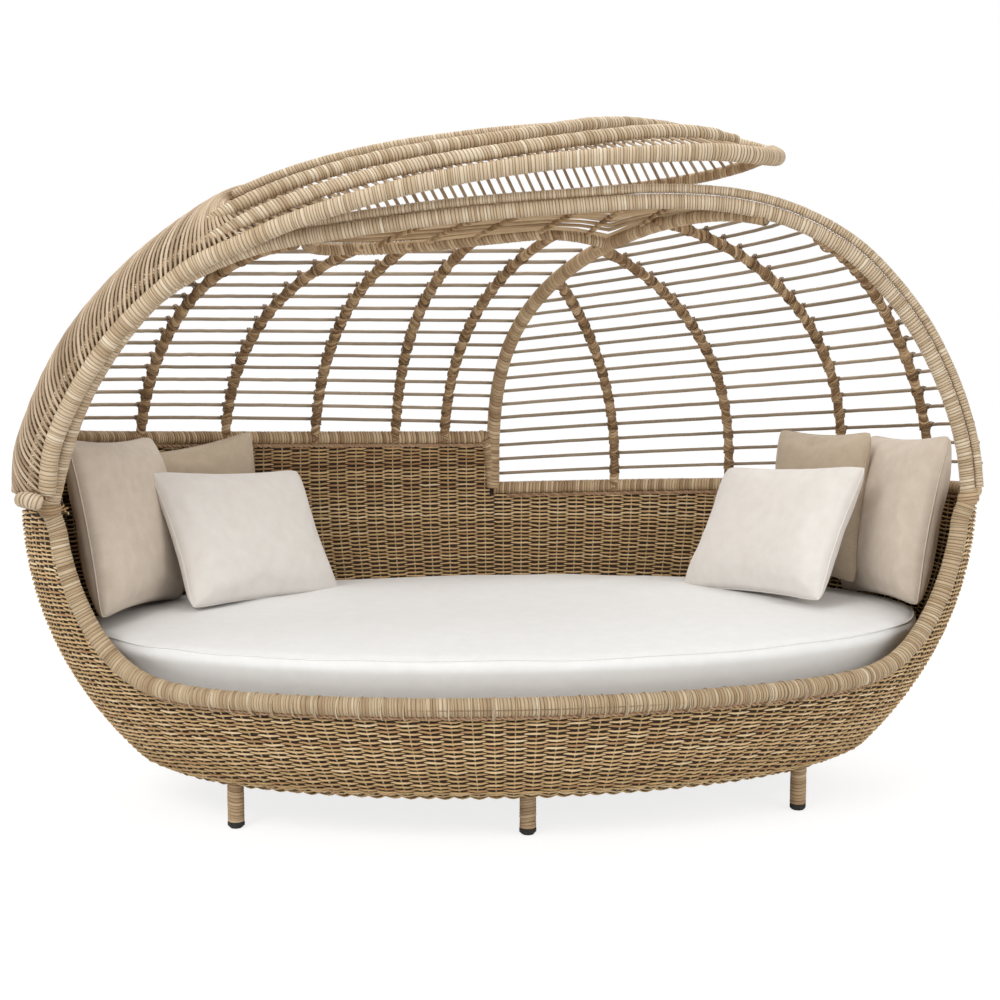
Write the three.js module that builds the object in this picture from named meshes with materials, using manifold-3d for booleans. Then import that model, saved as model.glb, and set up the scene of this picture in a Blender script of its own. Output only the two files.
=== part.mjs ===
// Outdoor daybed: a woven bowl on six short legs, a ribbed cane canopy over its back and a raised
// visor on the canopy, with a loose seat cushion and six loose pillows.
// Lengths are in millimetres. X runs to the right, Y to the back and Z up.

import * as THREE from 'three';
import Module from 'manifold-3d';

const wasm = await Module();
wasm.setup();

// Clearances
const fitGap = 0.3;
const lashingGap = 1.5;
const visorLashingGap = 2.5;

// Bowl, measured over its woven wall
const bowlWidth = 2130;
const bowlDepth = 1150;
const waistHeight = 675;
const roundingDrop = 860;
const bowlFullness = 2.1;
const baseHeight = 86;
const bowlWall = 18;
const baseRound = 26;
const baseBevelShare = 0.3;
const baseReturn = 112;
const ledgeWidth = 30;
const ledgeHeight = 30;
const ledgeTurnShare = 0.16;
const wallLevelShares = [0.3, 0.65];
const wallKneeShare = 0.85;
const wallShoulderShare = 0.5;

// Arch at the front of the canopy, in an upright plane
const archForward = 240;
const archRise = 632;
const archDiameter = 32;
const archBeadDiameter = 20;
const archOutlineShares = [
  [-1, 0], [-0.968, 0.18], [-0.935, 0.32], [-0.892, 0.445], [-0.835, 0.57], [-0.766, 0.683], [-0.68, 0.768],
  [-0.55, 0.845], [-0.38, 0.893], [-0.16, 0.94], [0.08, 0.973], [0.3, 0.993], [0.47, 0.978], [0.6, 0.925],
  [0.72, 0.825], [0.813, 0.69], [0.876, 0.565], [0.926, 0.43], [0.963, 0.297], [0.989, 0.16], [1.003, 0],
];

// Front rim and back rails
const rimDiameter = 38;
const rimLowHeight = 308;
const rimBendDegrees = 4.4;
const rimEndShare = 0.012;
const railDiameter = 32;
const seamDiameter = 34;
const seamTurnShare = 0.505;
const leftRailHeight = 748;
const leftRailClimb = 96;
const leftRailBendShare = 1.7;
const rightRailHeight = 616;
const rightRailClimb = 70;
const rightRailBendShare = 1.3;
const collarDiameter = 46;
const collarHeight = 40;
const collarTurnShare = 0.014;
const railOverrunShare = 0.0035;
const seamStepShare = 0.0007;

// Canopy ribs: place on the rail, place at the top, how far up the top is and how late the rib leans over.
// A bound rib carries the lashing line of its screen.
const ribDiameter = 22;
const ribInset = 12;
const seamRibShares = { footShare: 0.505, headShare: 0.69, reachShare: 1, leanPower: 3.1 };
const leftRibShares = [
  { footShare: 0.264, headShare: 0.31, reachShare: 1, leanPower: 2.5 },
  { footShare: 0.333, headShare: 0.388, reachShare: 0.79, leanPower: 3 },
  { footShare: 0.394, headShare: 0.425, reachShare: 0.765, leanPower: 2.8 },
  { footShare: 0.445, headShare: 0.472, reachShare: 0.765, leanPower: 3, bound: true },
  { footShare: 0.475, headShare: 0.53, reachShare: 0.785, leanPower: 2.6 },
];
const rightRibShares = [
  { footShare: 0.58, headShare: 0.537, reachShare: 0.56, leanPower: 2 },
  { footShare: 0.655, headShare: 0.558, reachShare: 0.7, leanPower: 2.3 },
  { footShare: 0.74, headShare: 0.598, reachShare: 0.84, leanPower: 2.6, bound: true },
  { footShare: 0.83, headShare: 0.735, reachShare: 1, leanPower: 1.8 },
];
const ridgeOutlineShares = [
  [0.325, 1], [0.333, 0.9], [0.346, 0.83], [0.362, 0.795], [0.38, 0.778], [0.4, 0.76], [0.44, 0.752],
  [0.48, 0.765], [0.52, 0.775], [0.545, 0.75], [0.57, 0.7],
];

// Canopy rods
const rodDiameter = 8;
const bindingDiameter = 5;
const leftRodPitch = 35.5;
const leftRodTopPitch = 25;
const leftRodCount = 15;
const leftRodClimb = 174;
const leftRodLevelHeight = 1120;
const rightRodPitch = 37;
const rightRodTopPitch = 27;
const rightRodCount = 19;
const rightRodClimb = 175;
const rightRodClimbShare = 0.7;
const roofRodCount = 6;
const rodSpanShare = 0.085;
const rodStartShare = 0.002;
const rodEndShare = 0.002;
const rodRidgeGapShare = 0.014;
const roofBindingShare = 0.45;

// Visor on the canopy
const visorRailDiameter = 36;
const visorRearDiameter = 26;
const visorRibDiameter = 20;
const visorStrandDiameter = 6;
const visorStrandCount = 22;
const visorStandOff = 168;
const visorBaseDiameter = 28;
const visorBaseRise = 5;
const visorBaseEndShare = 0.142;
const visorBaseStartShares = [-1.03, -1.14];
const visorFrontShares = [
  [-1.001, -1.14, 0.04], [-0.987, -1.14, 0.16], [-0.95, -1.14, 0.266], [-0.903, -1.14, 0.363],
  [-0.841, -1.14, 0.459], [-0.765, -1.14, 0.547], [-0.69, -1.15, 0.617], [-0.595, -1.18, 0.67],
  [-0.495, -1.22, 0.722], [-0.363, -1.25, 0.775], [-0.233, -1.25, 0.818], [-0.1, -1.25, 0.85],
  [0.03, -1.25, 0.874], [0.157, -1.25, 0.89], [0.284, -1.25, 0.9], [0.413, -1.23, 0.905],
  [0.495, -1.14, 0.9], [0.545, -0.95, 0.9], [0.573, -0.68, 0.908], [0.573, -0.42, 0.925],
];
const visorTopShares = [
  [-1.09, -0.2, 0.02], [-1.083, -0.2, 0.133], [-1.053, -0.2, 0.239], [-1.013, -0.2, 0.345],
  [-0.96, -0.2, 0.451], [-0.888, -0.2, 0.556], [-0.797, -0.2, 0.661], [-0.676, -0.2, 0.767],
  [-0.579, -0.2, 0.829], [-0.47, -0.2, 0.879], [-0.359, -0.2, 0.916], [-0.249, -0.2, 0.944],
  [-0.138, -0.2, 0.964], [-0.026, -0.2, 0.981], [0.086, -0.2, 0.992], [0.199, -0.2, 1],
  [0.312, -0.2, 0.996], [0.42, -0.22, 0.98], [0.505, -0.3, 0.955], [0.573, -0.45, 0.928],
];
const visorRearShares = [
  [-1.087, 0.4, 0.02], [-1.075, 0.42, 0.14], [-1.035, 0.42, 0.26], [-0.97, 0.42, 0.38], [-0.882, 0.42, 0.5],
  [-0.77, 0.42, 0.605], [-0.645, 0.42, 0.68], [-0.52, 0.42, 0.722], [-0.405, 0.42, 0.745],
  [-0.243, 0.42, 0.772], [-0.01, 0.42, 0.8], [0.13, 0.42, 0.82], [0.32, 0.4, 0.845], [0.46, 0.25, 0.872],
  [0.535, 0, 0.895], [0.573, -0.32, 0.915],
];
const visorLowerRibShare = 0.24;
const visorLowerRibEndShare = 0.72;
const visorUpperRibShare = 0.48;
const visorUpperRibEndShare = 0.93;
const visorFirstStrandShare = 0.04;
const visorLastStrandShare = 0.93;
const visorBindingShare = 1.4;

// Legs and the hidden seat frame
const legDiameter = 35;
const legWall = 3;
const sideLegDegrees = 44.78;
const glideDiameter = 36;
const glideHeight = 13;
const glideFaceDiameter = 26;
const glideEdgeHeight = 5;
const glideSpigotHeight = 22;
const seatRingDiameter = 30;
const seatRingSideGap = 72.8;
const seatRingFrontGap = 128.5;
const crossBarDiameter = 25;
const crossBarOut = 430;
const deckHeight = 265;
const deckThickness = 18;
const deckClearance = 6;

// Seat cushion
const cushionSideGap = 62.2;
const cushionFrontGap = 28.1;
const cushionBackGap = 16.1;
const cushionFlare = 24;
const cushionThickness = 110;
const cushionCrown = 16;
const cushionCrownPower = 2.4;
const cushionCrownShares = [0, 0.4, 0.68, 0.88];
const cushionEdgeRound = 22;
const cushionSideDrawIn = 5;

// Pillows: a pair of each size
const creamPillowWidth = 432;
const creamPillowHeight = 333;
const creamPillowThickness = 102;
const beigePillowWidth = 404;
const beigePillowHeight = 388;
const beigePillowThickness = 104;
const taupePillowWidth = 336;
const taupePillowHeight = 364;
const taupePillowThickness = 71;
const pillowEdgeThickness = 16;
const pillowSideDrawInShare = 0.07;
const pillowCornerPower = 4;
const pillowSwellPower = 0.7;

// How each pillow stands: its foot's way from the cushion's end in shares of the cream pillow's width and
// from the middle in shares of half the cushion's depth, then its turn, lean and tilt
const pillowStands = [
  { name: 'cream_left', endShare: 0.9545, backShare: 0.256, degrees: [45.6, 29.5, -2.6] },
  { name: 'cream_right', endShare: 0.8528, backShare: 0.1, degrees: [-62.6, 30.4, 5.3] },
  { name: 'beige_left', endShare: 0.2727, backShare: 0.083, degrees: [70.5, 8.4, -3.8] },
  { name: 'beige_right', endShare: 0.1656, backShare: 0.058, degrees: [-84.2, 12, 4.8] },
  { name: 'taupe_left', endShare: 0.5606, backShare: 0.65, degrees: [32, 4, 1.2] },
  { name: 'taupe_right', endShare: 0.4762, backShare: 0.462, degrees: [-67.4, 8.7, -9.5] },
];

// Facets
const tubeSideCount = 8;
const ribSideCount = 6;
const rodSideCount = 3;
const collarSideCount = 10;
const archStepCount = 31;
const rimStepCount = 34;
const railStepCount = 20;
const seamStepCount = 18;
const ribStepCount = 10;
const ridgeStepCount = 14;
const visorFrontStepCount = 30;
const visorRearStepCount = 20;
const visorTopStepCount = 24;
const visorRibStepCount = 18;
const visorBaseStepCount = 12;
const roofRodStepCount = 8;
const leftBindingStepCount = 6;
const rightBindingStepCount = 8;
const roofBindingStepCount = 5;
const leftWallColumnCount = 13;
const rightWallColumnCount = 12;
const frontWallColumnCount = 26;
const roundingStepCount = 2;
const cushionSegmentCount = 26;
const deckSegmentCount = 36;
const seatRingSegmentCount = 24;
const pillowCellCount = 7;
const denseStepCount = 120;
const searchStepCount = 30;

const halfWidth = bowlWidth / 2;
const halfDepth = bowlDepth / 2;
const collarAngle = Math.asin(archForward / halfDepth);
const archHalfWidth = halfWidth * Math.cos(collarAngle);
const visorTopRise = archRise + visorStandOff;
const seatRingHeight = deckHeight - seatRingDiameter / 2;
const seatRingHalfWidth = halfWidth * bowlScale(seatRingHeight) - bowlWall - seatRingSideGap;
const seatRingHalfDepth = halfDepth * bowlScale(seatRingHeight) - bowlWall - seatRingFrontGap;
const cushionBottom = deckHeight + deckThickness + 2 * fitGap;
const cushionScale = bowlScale(cushionBottom + cushionThickness);
const cushionWidth = 2 * (halfWidth * cushionScale - bowlWall - cushionSideGap);
const cushionDepth = 2 * (halfDepth * cushionScale - bowlWall) - cushionFrontGap - cushionBackGap;
const cushionBack = (cushionFrontGap - cushionBackGap) / 2;
const { lerp, clamp, smoothstep, degToRad } = THREE.MathUtils;

// Materials
const caneMaterial = finish(0xb08d5f, 0.75);
const caneLightMaterial = finish(0xc9ab7d, 0.7);
const ribMaterial = finish(0x96724a, 0.75);
const frameMaterial = finish(0x8f8f8c, 0.4, 0.8);
const deckMaterial = finish(0xa9885c, 0.7);
const glideMaterial = finish(0x1c1c1c, 0.6);
const creamMaterial = finish(0xeae7e2, 0.9);
const beigeMaterial = finish(0xc8bdaf, 0.9);
const taupeMaterial = finish(0xa0927e, 0.9);

function finish(color, roughness, metalness = 0) {
  return new THREE.MeshStandardMaterial({ color, roughness, metalness });
}

// Plan angle at a turn: 0 is the left collar, 1 the right collar round the back, 2 the left collar again
function planAngle(turn) {
  if (turn <= 1) return Math.PI + collarAngle - turn * (Math.PI + 2 * collarAngle);
  return -collarAngle - (turn - 1) * (Math.PI - 2 * collarAngle);
}

function turnOfAngle(angle) {
  const fromLeft = (Math.PI + collarAngle - angle + 4 * Math.PI) % (2 * Math.PI);
  const back = Math.PI + 2 * collarAngle;
  if (fromLeft <= back) return fromLeft / back;
  return 1 + (fromLeft - back) / (2 * Math.PI - back);
}

// How far the bowl has rounded in at a height, as a share of its size at the waist
function bowlScale(height) {
  const drop = Math.max(0, waistHeight - height) / roundingDrop;
  return (1 - drop ** bowlFullness) ** (1 / bowlFullness);
}

// Point of the bowl at a height, moved inwards by an inset
function bowlPoint(turn, height, inset = 0) {
  const scale = bowlScale(height);
  const angle = planAngle(turn);
  const x = (halfWidth * scale - inset) * Math.cos(angle);
  const y = (halfDepth * scale - inset) * Math.sin(angle);
  return new THREE.Vector3(x, y, height);
}

// The wall steps in above the waist on the left, where the visor stands flush over the bowl.
function ledgeInset(turn) {
  return ledgeWidth * (1 - smoothstep(turn, ledgeTurnShare, 2 * ledgeTurnShare));
}

const archCurve = smoothCurve(archOutlineShares.map(([x, z]) => {
  return new THREE.Vector3(x * archHalfWidth, -archForward, waistHeight + z * archRise);
}));

function smoothCurve(points) {
  const curve = new THREE.CatmullRomCurve3(points, false, 'centripetal');
  curve.arcLengthDivisions = 4 * denseStepCount;
  return curve;
}

// Point of the arch at a share of its length, moved outwards in its plane by an outset
function archPoint(share, outset = 0) {
  const place = clamp(share, 0, 1);
  const point = archCurve.getPointAt(place);
  const along = archCurve.getTangentAt(place);
  point.x -= along.z * outset;
  point.z += along.x * outset;
  return point;
}

// Point of the canopy: lift 0 is at the waist and lift 1 on the arch
function domePoint(turn, lift, outset = 0) {
  const wall = bowlPoint(turn, waistHeight, ledgeInset(turn) - outset);
  const top = archPoint(turn, outset);
  const swing = lift * (Math.PI / 2);
  const forward = 1 - Math.cos(swing);
  const x = lerp(wall.x, top.x, forward);
  const y = lerp(wall.y, top.y, forward);
  return new THREE.Vector3(x, y, lerp(waistHeight, top.z, Math.sin(swing)));
}

function liftAtHeight(turn, height) {
  const rise = archPoint(turn).z - waistHeight;
  return Math.asin(clamp((height - waistHeight) / rise, 0, 1)) / (Math.PI / 2);
}

// Point of the wall, bowl below the waist and canopy surface above it
function wallPoint(turn, height, inset = 0) {
  if (height > waistHeight) return domePoint(turn, liftAtHeight(turn, height), -inset);
  const stepShare = smoothstep(height, waistHeight - ledgeHeight, waistHeight);
  const ledge = turn <= 1 ? ledgeInset(turn) * stepShare : 0;
  return bowlPoint(turn, height, inset + ledge);
}

// Closed geometry from rings of points that follow each other, with end caps or joined end to end
function skinRings(rings, closed = false) {
  const sides = rings[0].length;
  const positions = rings.flat().flatMap((point) => [point.x, point.y, point.z]);
  const index = [];
  const spans = closed ? rings.length : rings.length - 1;
  for (let i = 0; i < spans; i++) {
    for (let j = 0; j < sides; j++) {
      const a = i * sides + j;
      const b = i * sides + ((j + 1) % sides);
      const next = ((i + 1) % rings.length) * sides;
      const c = next + ((j + 1) % sides);
      const d = next + j;
      index.push(a, b, c, a, c, d);
    }
  }
  if (!closed) {
    const last = (rings.length - 1) * sides;
    for (let j = 1; j < sides - 1; j++) {
      index.push(0, j + 1, j);
      index.push(last, last + j, last + j + 1);
    }
  }
  const geometry = new THREE.BufferGeometry();
  geometry.setAttribute('position', new THREE.Float32BufferAttribute(positions, 3));
  geometry.setIndex(index);
  return geometry;
}

// Tube with flat ends along a list of points, its section carried along without twist
function tubeGeometry(points, diameter, sides = tubeSideCount, closed = false) {
  const count = points.length;
  const tangentAt = (i) => {
    const before = closed ? points[(i + count - 1) % count] : points[Math.max(0, i - 1)];
    const after = closed ? points[(i + 1) % count] : points[Math.min(count - 1, i + 1)];
    return after.clone().sub(before).normalize();
  };
  const first = tangentAt(0);
  const helper = Math.abs(first.z) > Math.SQRT1_2 ? new THREE.Vector3(1, 0, 0) : new THREE.Vector3(0, 0, 1);
  let normal = helper.clone().cross(first).normalize();
  const rings = points.map((point, i) => {
    const along = tangentAt(i);
    normal = normal.clone().addScaledVector(along, -normal.dot(along)).normalize();
    const side = along.clone().cross(normal);
    return Array.from({ length: sides }, (_, j) => {
      const angle = ((j + 0.5) / sides) * 2 * Math.PI;
      const offset = normal.clone().multiplyScalar(Math.cos(angle)).addScaledVector(side, Math.sin(angle));
      return point.clone().addScaledVector(offset, diameter / 2);
    });
  });
  return skinRings(rings, closed);
}

// Solids for joins and cuts
function toSolid(geometry) {
  const source = geometry.index ? geometry : indexed(geometry);
  const vertProperties = new Float32Array(source.attributes.position.array);
  const triVerts = new Uint32Array(source.index.array);
  const mesh = new wasm.Mesh({ numProp: 3, vertProperties, triVerts });
  mesh.merge();
  return new wasm.Manifold(mesh);
}

function indexed(geometry) {
  const plain = geometry.clone();
  plain.setIndex([...Array(plain.attributes.position.count).keys()]);
  return plain;
}

// The largest body of a cut solid; what a cut leaves beyond its neighbour is waste
function mainBody(solid) {
  return solid.decompose().sort((a, b) => b.volume() - a.volume())[0];
}

function toGeometry(solid) {
  const mesh = solid.getMesh();
  const positions = [];
  for (let i = 0; i < mesh.vertProperties.length; i += mesh.numProp) {
    positions.push(...mesh.vertProperties.subarray(i, i + 3));
  }
  const geometry = new THREE.BufferGeometry();
  geometry.setAttribute('position', new THREE.Float32BufferAttribute(positions, 3));
  geometry.setIndex([...mesh.triVerts]);
  return geometry;
}

function cutBy(geometry, ...cutters) {
  const cut = cutters.reduce((solid, cutter) => solid.subtract(toSolid(cutter)), toSolid(geometry));
  return toGeometry(mainBody(cut));
}

function joined(geometries) {
  const [first, ...others] = geometries.map(toSolid);
  return toGeometry(others.reduce((solid, other) => solid.add(other), first));
}

// A tube piece keeps its route, so that its neighbours can be cut by a slightly thicker copy of it.
class Tube {
  constructor(points, diameter, sides = tubeSideCount, closed = false) {
    Object.assign(this, { points, diameter, sides, closed });
  }

  get geometry() {
    return tubeGeometry(this.points, this.diameter, this.sides, this.closed);
  }

  get cutter() {
    return tubeGeometry(this.points, this.diameter + 2 * fitGap, this.sides, this.closed);
  }
}

function samples(count, at) {
  return Array.from({ length: count + 1 }, (_, i) => at(i / count));
}

function spacedRoute(points, steps) {
  return smoothCurve(points).getSpacedPoints(steps);
}

const daybed = new THREE.Group();

function addPiece(name, geometry, material) {
  const mesh = new THREE.Mesh(geometry, material);
  mesh.name = name;
  daybed.add(mesh);
  return mesh;
}

// Front rim: it drops steeply from each collar and runs level across the front.
function rimPoint(share) {
  const turn = 1 + share;
  const fromCollar = Math.min(share, 1 - share) * (Math.PI - 2 * collarAngle);
  const rise = (waistHeight - rimLowHeight) * Math.exp(-fromCollar / degToRad(rimBendDegrees));
  return bowlPoint(turn, rimLowHeight + rise, bowlWall / 2);
}

function makeRim() {
  const dense = samples(2 * denseStepCount, (share) => rimPoint(1 - share)).slice(1, -1);
  const ends = [archPoint(0), archPoint(1)];
  ends.forEach((end) => end.setZ(end.z - fitGap));
  return new Tube(spacedRoute([ends[0], ...dense, ends[1]], rimStepCount), rimDiameter);
}

function makeArch() {
  return new Tube(samples(archStepCount, (share) => archPoint(share)), archDiameter);
}

function makeArchBead() {
  const outset = (archDiameter + archBeadDiameter) / 2 + fitGap;
  const start = (collarHeight / 2 + fitGap) / archCurve.getLength();
  const route = samples(archStepCount, (share) => archPoint(lerp(start, 1 - start, share), outset));
  return new Tube(route, archBeadDiameter, ribSideCount);
}

// Heights of the two top rails of the back wall; the seam rib stands where they meet
function leftRailAt(turn) {
  const share = Math.max(0, seamTurnShare - turn) / seamTurnShare;
  return leftRailHeight + leftRailClimb * share ** leftRailBendShare;
}

function rightRailAt(turn) {
  const share = Math.max(0, turn - seamTurnShare) / (1 - seamTurnShare);
  return rightRailHeight + rightRailClimb * share ** rightRailBendShare;
}

function railHeight(turn) {
  return turn < seamTurnShare ? leftRailAt(turn) : rightRailAt(turn);
}

// Turn at which a rail meets the arch
function railEnd(fromTurn, toTurn) {
  let [low, high] = [fromTurn, toTurn];
  for (let i = 0; i < searchStepCount; i++) {
    const middle = (low + high) / 2;
    if (archPoint(middle).z < railHeight(middle)) low = middle;
    else high = middle;
  }
  return high;
}

function makeRail(fromTurn, toTurn, heightAt) {
  const dense = samples(denseStepCount, (share) => {
    const turn = lerp(fromTurn, toTurn, share);
    return wallPoint(turn, heightAt(turn), bowlWall / 2);
  });
  return new Tube(spacedRoute(dense, railStepCount), railDiameter);
}

function ribTurn(rib, lift) {
  return lerp(rib.footShare, rib.headShare, (lift / rib.reachShare) ** rib.leanPower);
}

// Point of a rib, counted in lift from the waist up; right ribs start below the waist on the bowl
function ribRoute(rib, fromHeight, steps) {
  const startLift = liftAtHeight(rib.footShare, fromHeight);
  const start = fromHeight < waistHeight ? [bowlPoint(rib.footShare, fromHeight, ribInset)] : [];
  const dense = samples(denseStepCount, (share) => {
    const lift = lerp(startLift, rib.reachShare, share);
    return domePoint(ribTurn(rib, lift), lift, -ribInset);
  });
  return spacedRoute([...start, ...dense], steps);
}

function makeRib(rib, diameter, steps, sides) {
  const foot = rib.footShare === seamTurnShare ? rightRailHeight : railHeight(rib.footShare);
  return new Tube(ribRoute(rib, foot, steps), diameter, sides);
}

function makeRidge() {
  const route = ridgeOutlineShares.map(([turn, lift]) => domePoint(turn, lift, -bowlWall / 2));
  return new Tube(spacedRoute(route, ridgeStepCount), ribDiameter, ribSideCount);
}

// Bowl: one woven wall, open at the top inside the rim and the rails, with a return under the base
function bowlColumns() {
  const seamWidth = (seamDiameter / 2 + fitGap) / (Math.PI * halfWidth);
  const under = railDiameter / 2 + fitGap;
  const column = (turn) => [turn, railHeight(turn) - under];
  const seamLeft = seamTurnShare - seamWidth;
  const seamRight = seamTurnShare + seamWidth;
  return [
    ...samples(leftWallColumnCount, (share) => column(lerp(collarTurnShare, seamLeft, share))),
    [seamLeft + seamStepShare, rightRailHeight - under],
    ...samples(rightWallColumnCount, (share) => column(lerp(seamRight, 1 - collarTurnShare, share))),
    ...rimColumns(),
  ];
}

// Tops of the columns under the front rim, found beside the rim on the bowl
function rimColumns() {
  const curve = smoothCurve(samples(2 * denseStepCount, rimPoint));
  const reach = rimDiameter / 2 + fitGap;
  return samples(frontWallColumnCount, (share) => {
    const place = lerp(rimEndShare, 1 - rimEndShare, share);
    const point = curve.getPointAt(place);
    const along = curve.getTangentAt(place);
    const outward = new THREE.Vector3(point.x / halfWidth ** 2, point.y / halfDepth ** 2, 0).normalize();
    const down = outward.clone().cross(along).normalize();
    point.addScaledVector(down, reach);
    return [turnOfAngle(Math.atan2(point.y / halfDepth, point.x / halfWidth)), point.z];
  });
}

// Section of the wall from the return under the base, up the outside and down the inside
function bowlSection([turn, top]) {
  const knee = Math.min(waistHeight - ledgeHeight, lerp(baseHeight, top, wallKneeShare));
  const shoulder = Math.min(waistHeight, lerp(knee, top, wallShoulderShare));
  const lower = baseHeight + baseRound;
  const levels = wallLevelShares.map((share) => lerp(lower, knee, share));
  const heights = [lower, ...levels, knee, shoulder, top];
  const outer = heights.map((height) => wallPoint(turn, height));
  const inner = heights.slice(1).map((height) => wallPoint(turn, height, bowlWall)).reverse();
  return [
    bowlPoint(turn, baseHeight, baseReturn),
    bowlPoint(turn, baseHeight, baseRound),
    bowlPoint(turn, baseHeight + baseRound * baseBevelShare, baseRound * baseBevelShare),
    ...outer,
    ...inner,
    bowlPoint(turn, baseHeight + bowlWall, bowlWall + baseRound),
    bowlPoint(turn, baseHeight + bowlWall, baseReturn),
  ];
}

function makeBowl(neighbours) {
  const wall = skinRings(bowlColumns().map(bowlSection), true);
  const holeRadius = legDiameter / 2 + fitGap;
  const legHoles = legPlaces().map(([, x, y]) => {
    const hole = new THREE.CylinderGeometry(holeRadius, holeRadius, baseReturn, tubeSideCount);
    return hole.rotateX(Math.PI / 2).translate(x, y, baseHeight);
  });
  return cutBy(wall, ...legHoles, ...neighbours);
}

// Collar that covers the joint between the arch and the rim
function collarBlank(end, growth = 0) {
  const radius = collarDiameter / 2 + growth;
  const blank = new THREE.CylinderGeometry(radius, radius, collarHeight + 2 * growth, collarSideCount);
  const place = archPoint(end);
  return blank.rotateX(Math.PI / 2).translate(place.x, place.y, place.z);
}

// Legs and seat frame
function legPlaces() {
  const rows = [['front', -1], ['back', 1]];
  const sideLegOut = seatRingHalfWidth * Math.cos(degToRad(sideLegDegrees));
  const sideLegForward = seatRingHalfDepth * Math.sin(degToRad(sideLegDegrees));
  return rows.flatMap(([row, side]) => [
    [row + '_left', -sideLegOut, side * sideLegForward],
    [row + '_middle', 0, side * seatRingHalfDepth],
    [row + '_right', sideLegOut, side * sideLegForward],
  ]);
}

function ringLathe(profile, sides) {
  const points = profile.map(([radius, height]) => new THREE.Vector2(radius, height));
  return new THREE.LatheGeometry(points, sides).rotateX(Math.PI / 2);
}

function addLegs() {
  const outer = legDiameter / 2;
  const inner = outer - legWall;
  const top = deckHeight - seatRingDiameter - fitGap;
  const bottom = glideHeight + fitGap;
  const leg = [[outer, bottom], [outer, top], [inner, top], [inner, bottom], [outer, bottom]];
  const spigot = inner - fitGap;
  const glide = [
    [0, 0], [glideFaceDiameter / 2, 0],
    [glideDiameter / 2, glideEdgeHeight], [glideDiameter / 2, glideHeight],
    [spigot, glideHeight], [spigot, glideHeight + glideSpigotHeight], [0, glideHeight + glideSpigotHeight],
  ];
  const legGeometry = toGeometry(toSolid(ringLathe(leg, tubeSideCount)));
  const glideGeometry = toGeometry(toSolid(ringLathe(glide, tubeSideCount)));
  for (const [place, x, y] of legPlaces()) {
    addPiece('leg_' + place, legGeometry, caneLightMaterial).position.set(x, y, 0);
    addPiece('glide_' + place, glideGeometry, glideMaterial).position.set(x, y, 0);
  }
}

function ellipsePoints(halfX, halfY, height, count) {
  return Array.from({ length: count }, (_, i) => {
    const angle = (i / count) * 2 * Math.PI;
    return new THREE.Vector3(halfX * Math.cos(angle), halfY * Math.sin(angle), height);
  });
}

function addSeatFrame() {
  const route = ellipsePoints(seatRingHalfWidth, seatRingHalfDepth, seatRingHeight, seatRingSegmentCount);
  const ring = new Tube(route, seatRingDiameter, ribSideCount, true);
  addPiece('seat_ring', ring.geometry, frameMaterial);
  for (const [name, x] of [['left', -crossBarOut], ['middle', 0], ['right', crossBarOut]]) {
    const reach = seatRingHalfDepth * Math.sqrt(1 - (x / seatRingHalfWidth) ** 2);
    const ends = [-reach, reach].map((y) => new THREE.Vector3(x, y, seatRingHeight));
    addPiece('cross_bar_' + name, cutBy(tubeGeometry(ends, crossBarDiameter), ring.cutter), frameMaterial);
  }
}

function addDeck() {
  const top = deckHeight + fitGap + deckThickness;
  const edge = (turn) => bowlPoint(turn, deckHeight, bowlWall + deckClearance);
  const outline = samples(deckSegmentCount, (share) => edge(2 * share)).slice(1).reverse();
  const level = (height) => outline.map((point) => point.clone().setZ(height));
  addPiece('seat_deck', skinRings([level(deckHeight + fitGap), level(top)]), deckMaterial);
}

// Seat cushion: crowned top, rounded edges and a side drawn in between its two seams
function cushionProfile() {
  const edge = cushionBottom + cushionThickness;
  const half = cushionWidth / 2;
  const foot = half - cushionFlare;
  const crown = cushionCrownShares.map((share) => {
    return [share * (half - cushionEdgeRound), edge + cushionCrown * (1 - share ** cushionCrownPower)];
  });
  const rounding = samples(roundingStepCount, (share) => {
    const angle = share * (Math.PI / 2);
    return [cushionEdgeRound * (Math.sin(angle) - 1), cushionEdgeRound * (Math.cos(angle) - 1)];
  });
  const drawnIn = cushionEdgeRound + cushionSideDrawIn;
  return [
    ...crown,
    ...rounding.map(([out, down]) => [half + out, edge + down]),
    [half - cushionSideDrawIn, edge - drawnIn],
    [half - cushionFlare / 2, (cushionBottom + edge) / 2],
    [foot - cushionSideDrawIn, cushionBottom + drawnIn],
    ...rounding.reverse().map(([out, down]) => [foot + out, cushionBottom - down]),
    [0, cushionBottom],
  ];
}

function addSeatCushion() {
  const round = ringLathe(cushionProfile().reverse(), cushionSegmentCount);
  const oval = toGeometry(toSolid(round)).scale(1, cushionDepth / cushionWidth, 1);
  addPiece('seat_cushion', oval.translate(0, cushionBack, 0), creamMaterial);
  return toSolid(oval);
}

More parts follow.
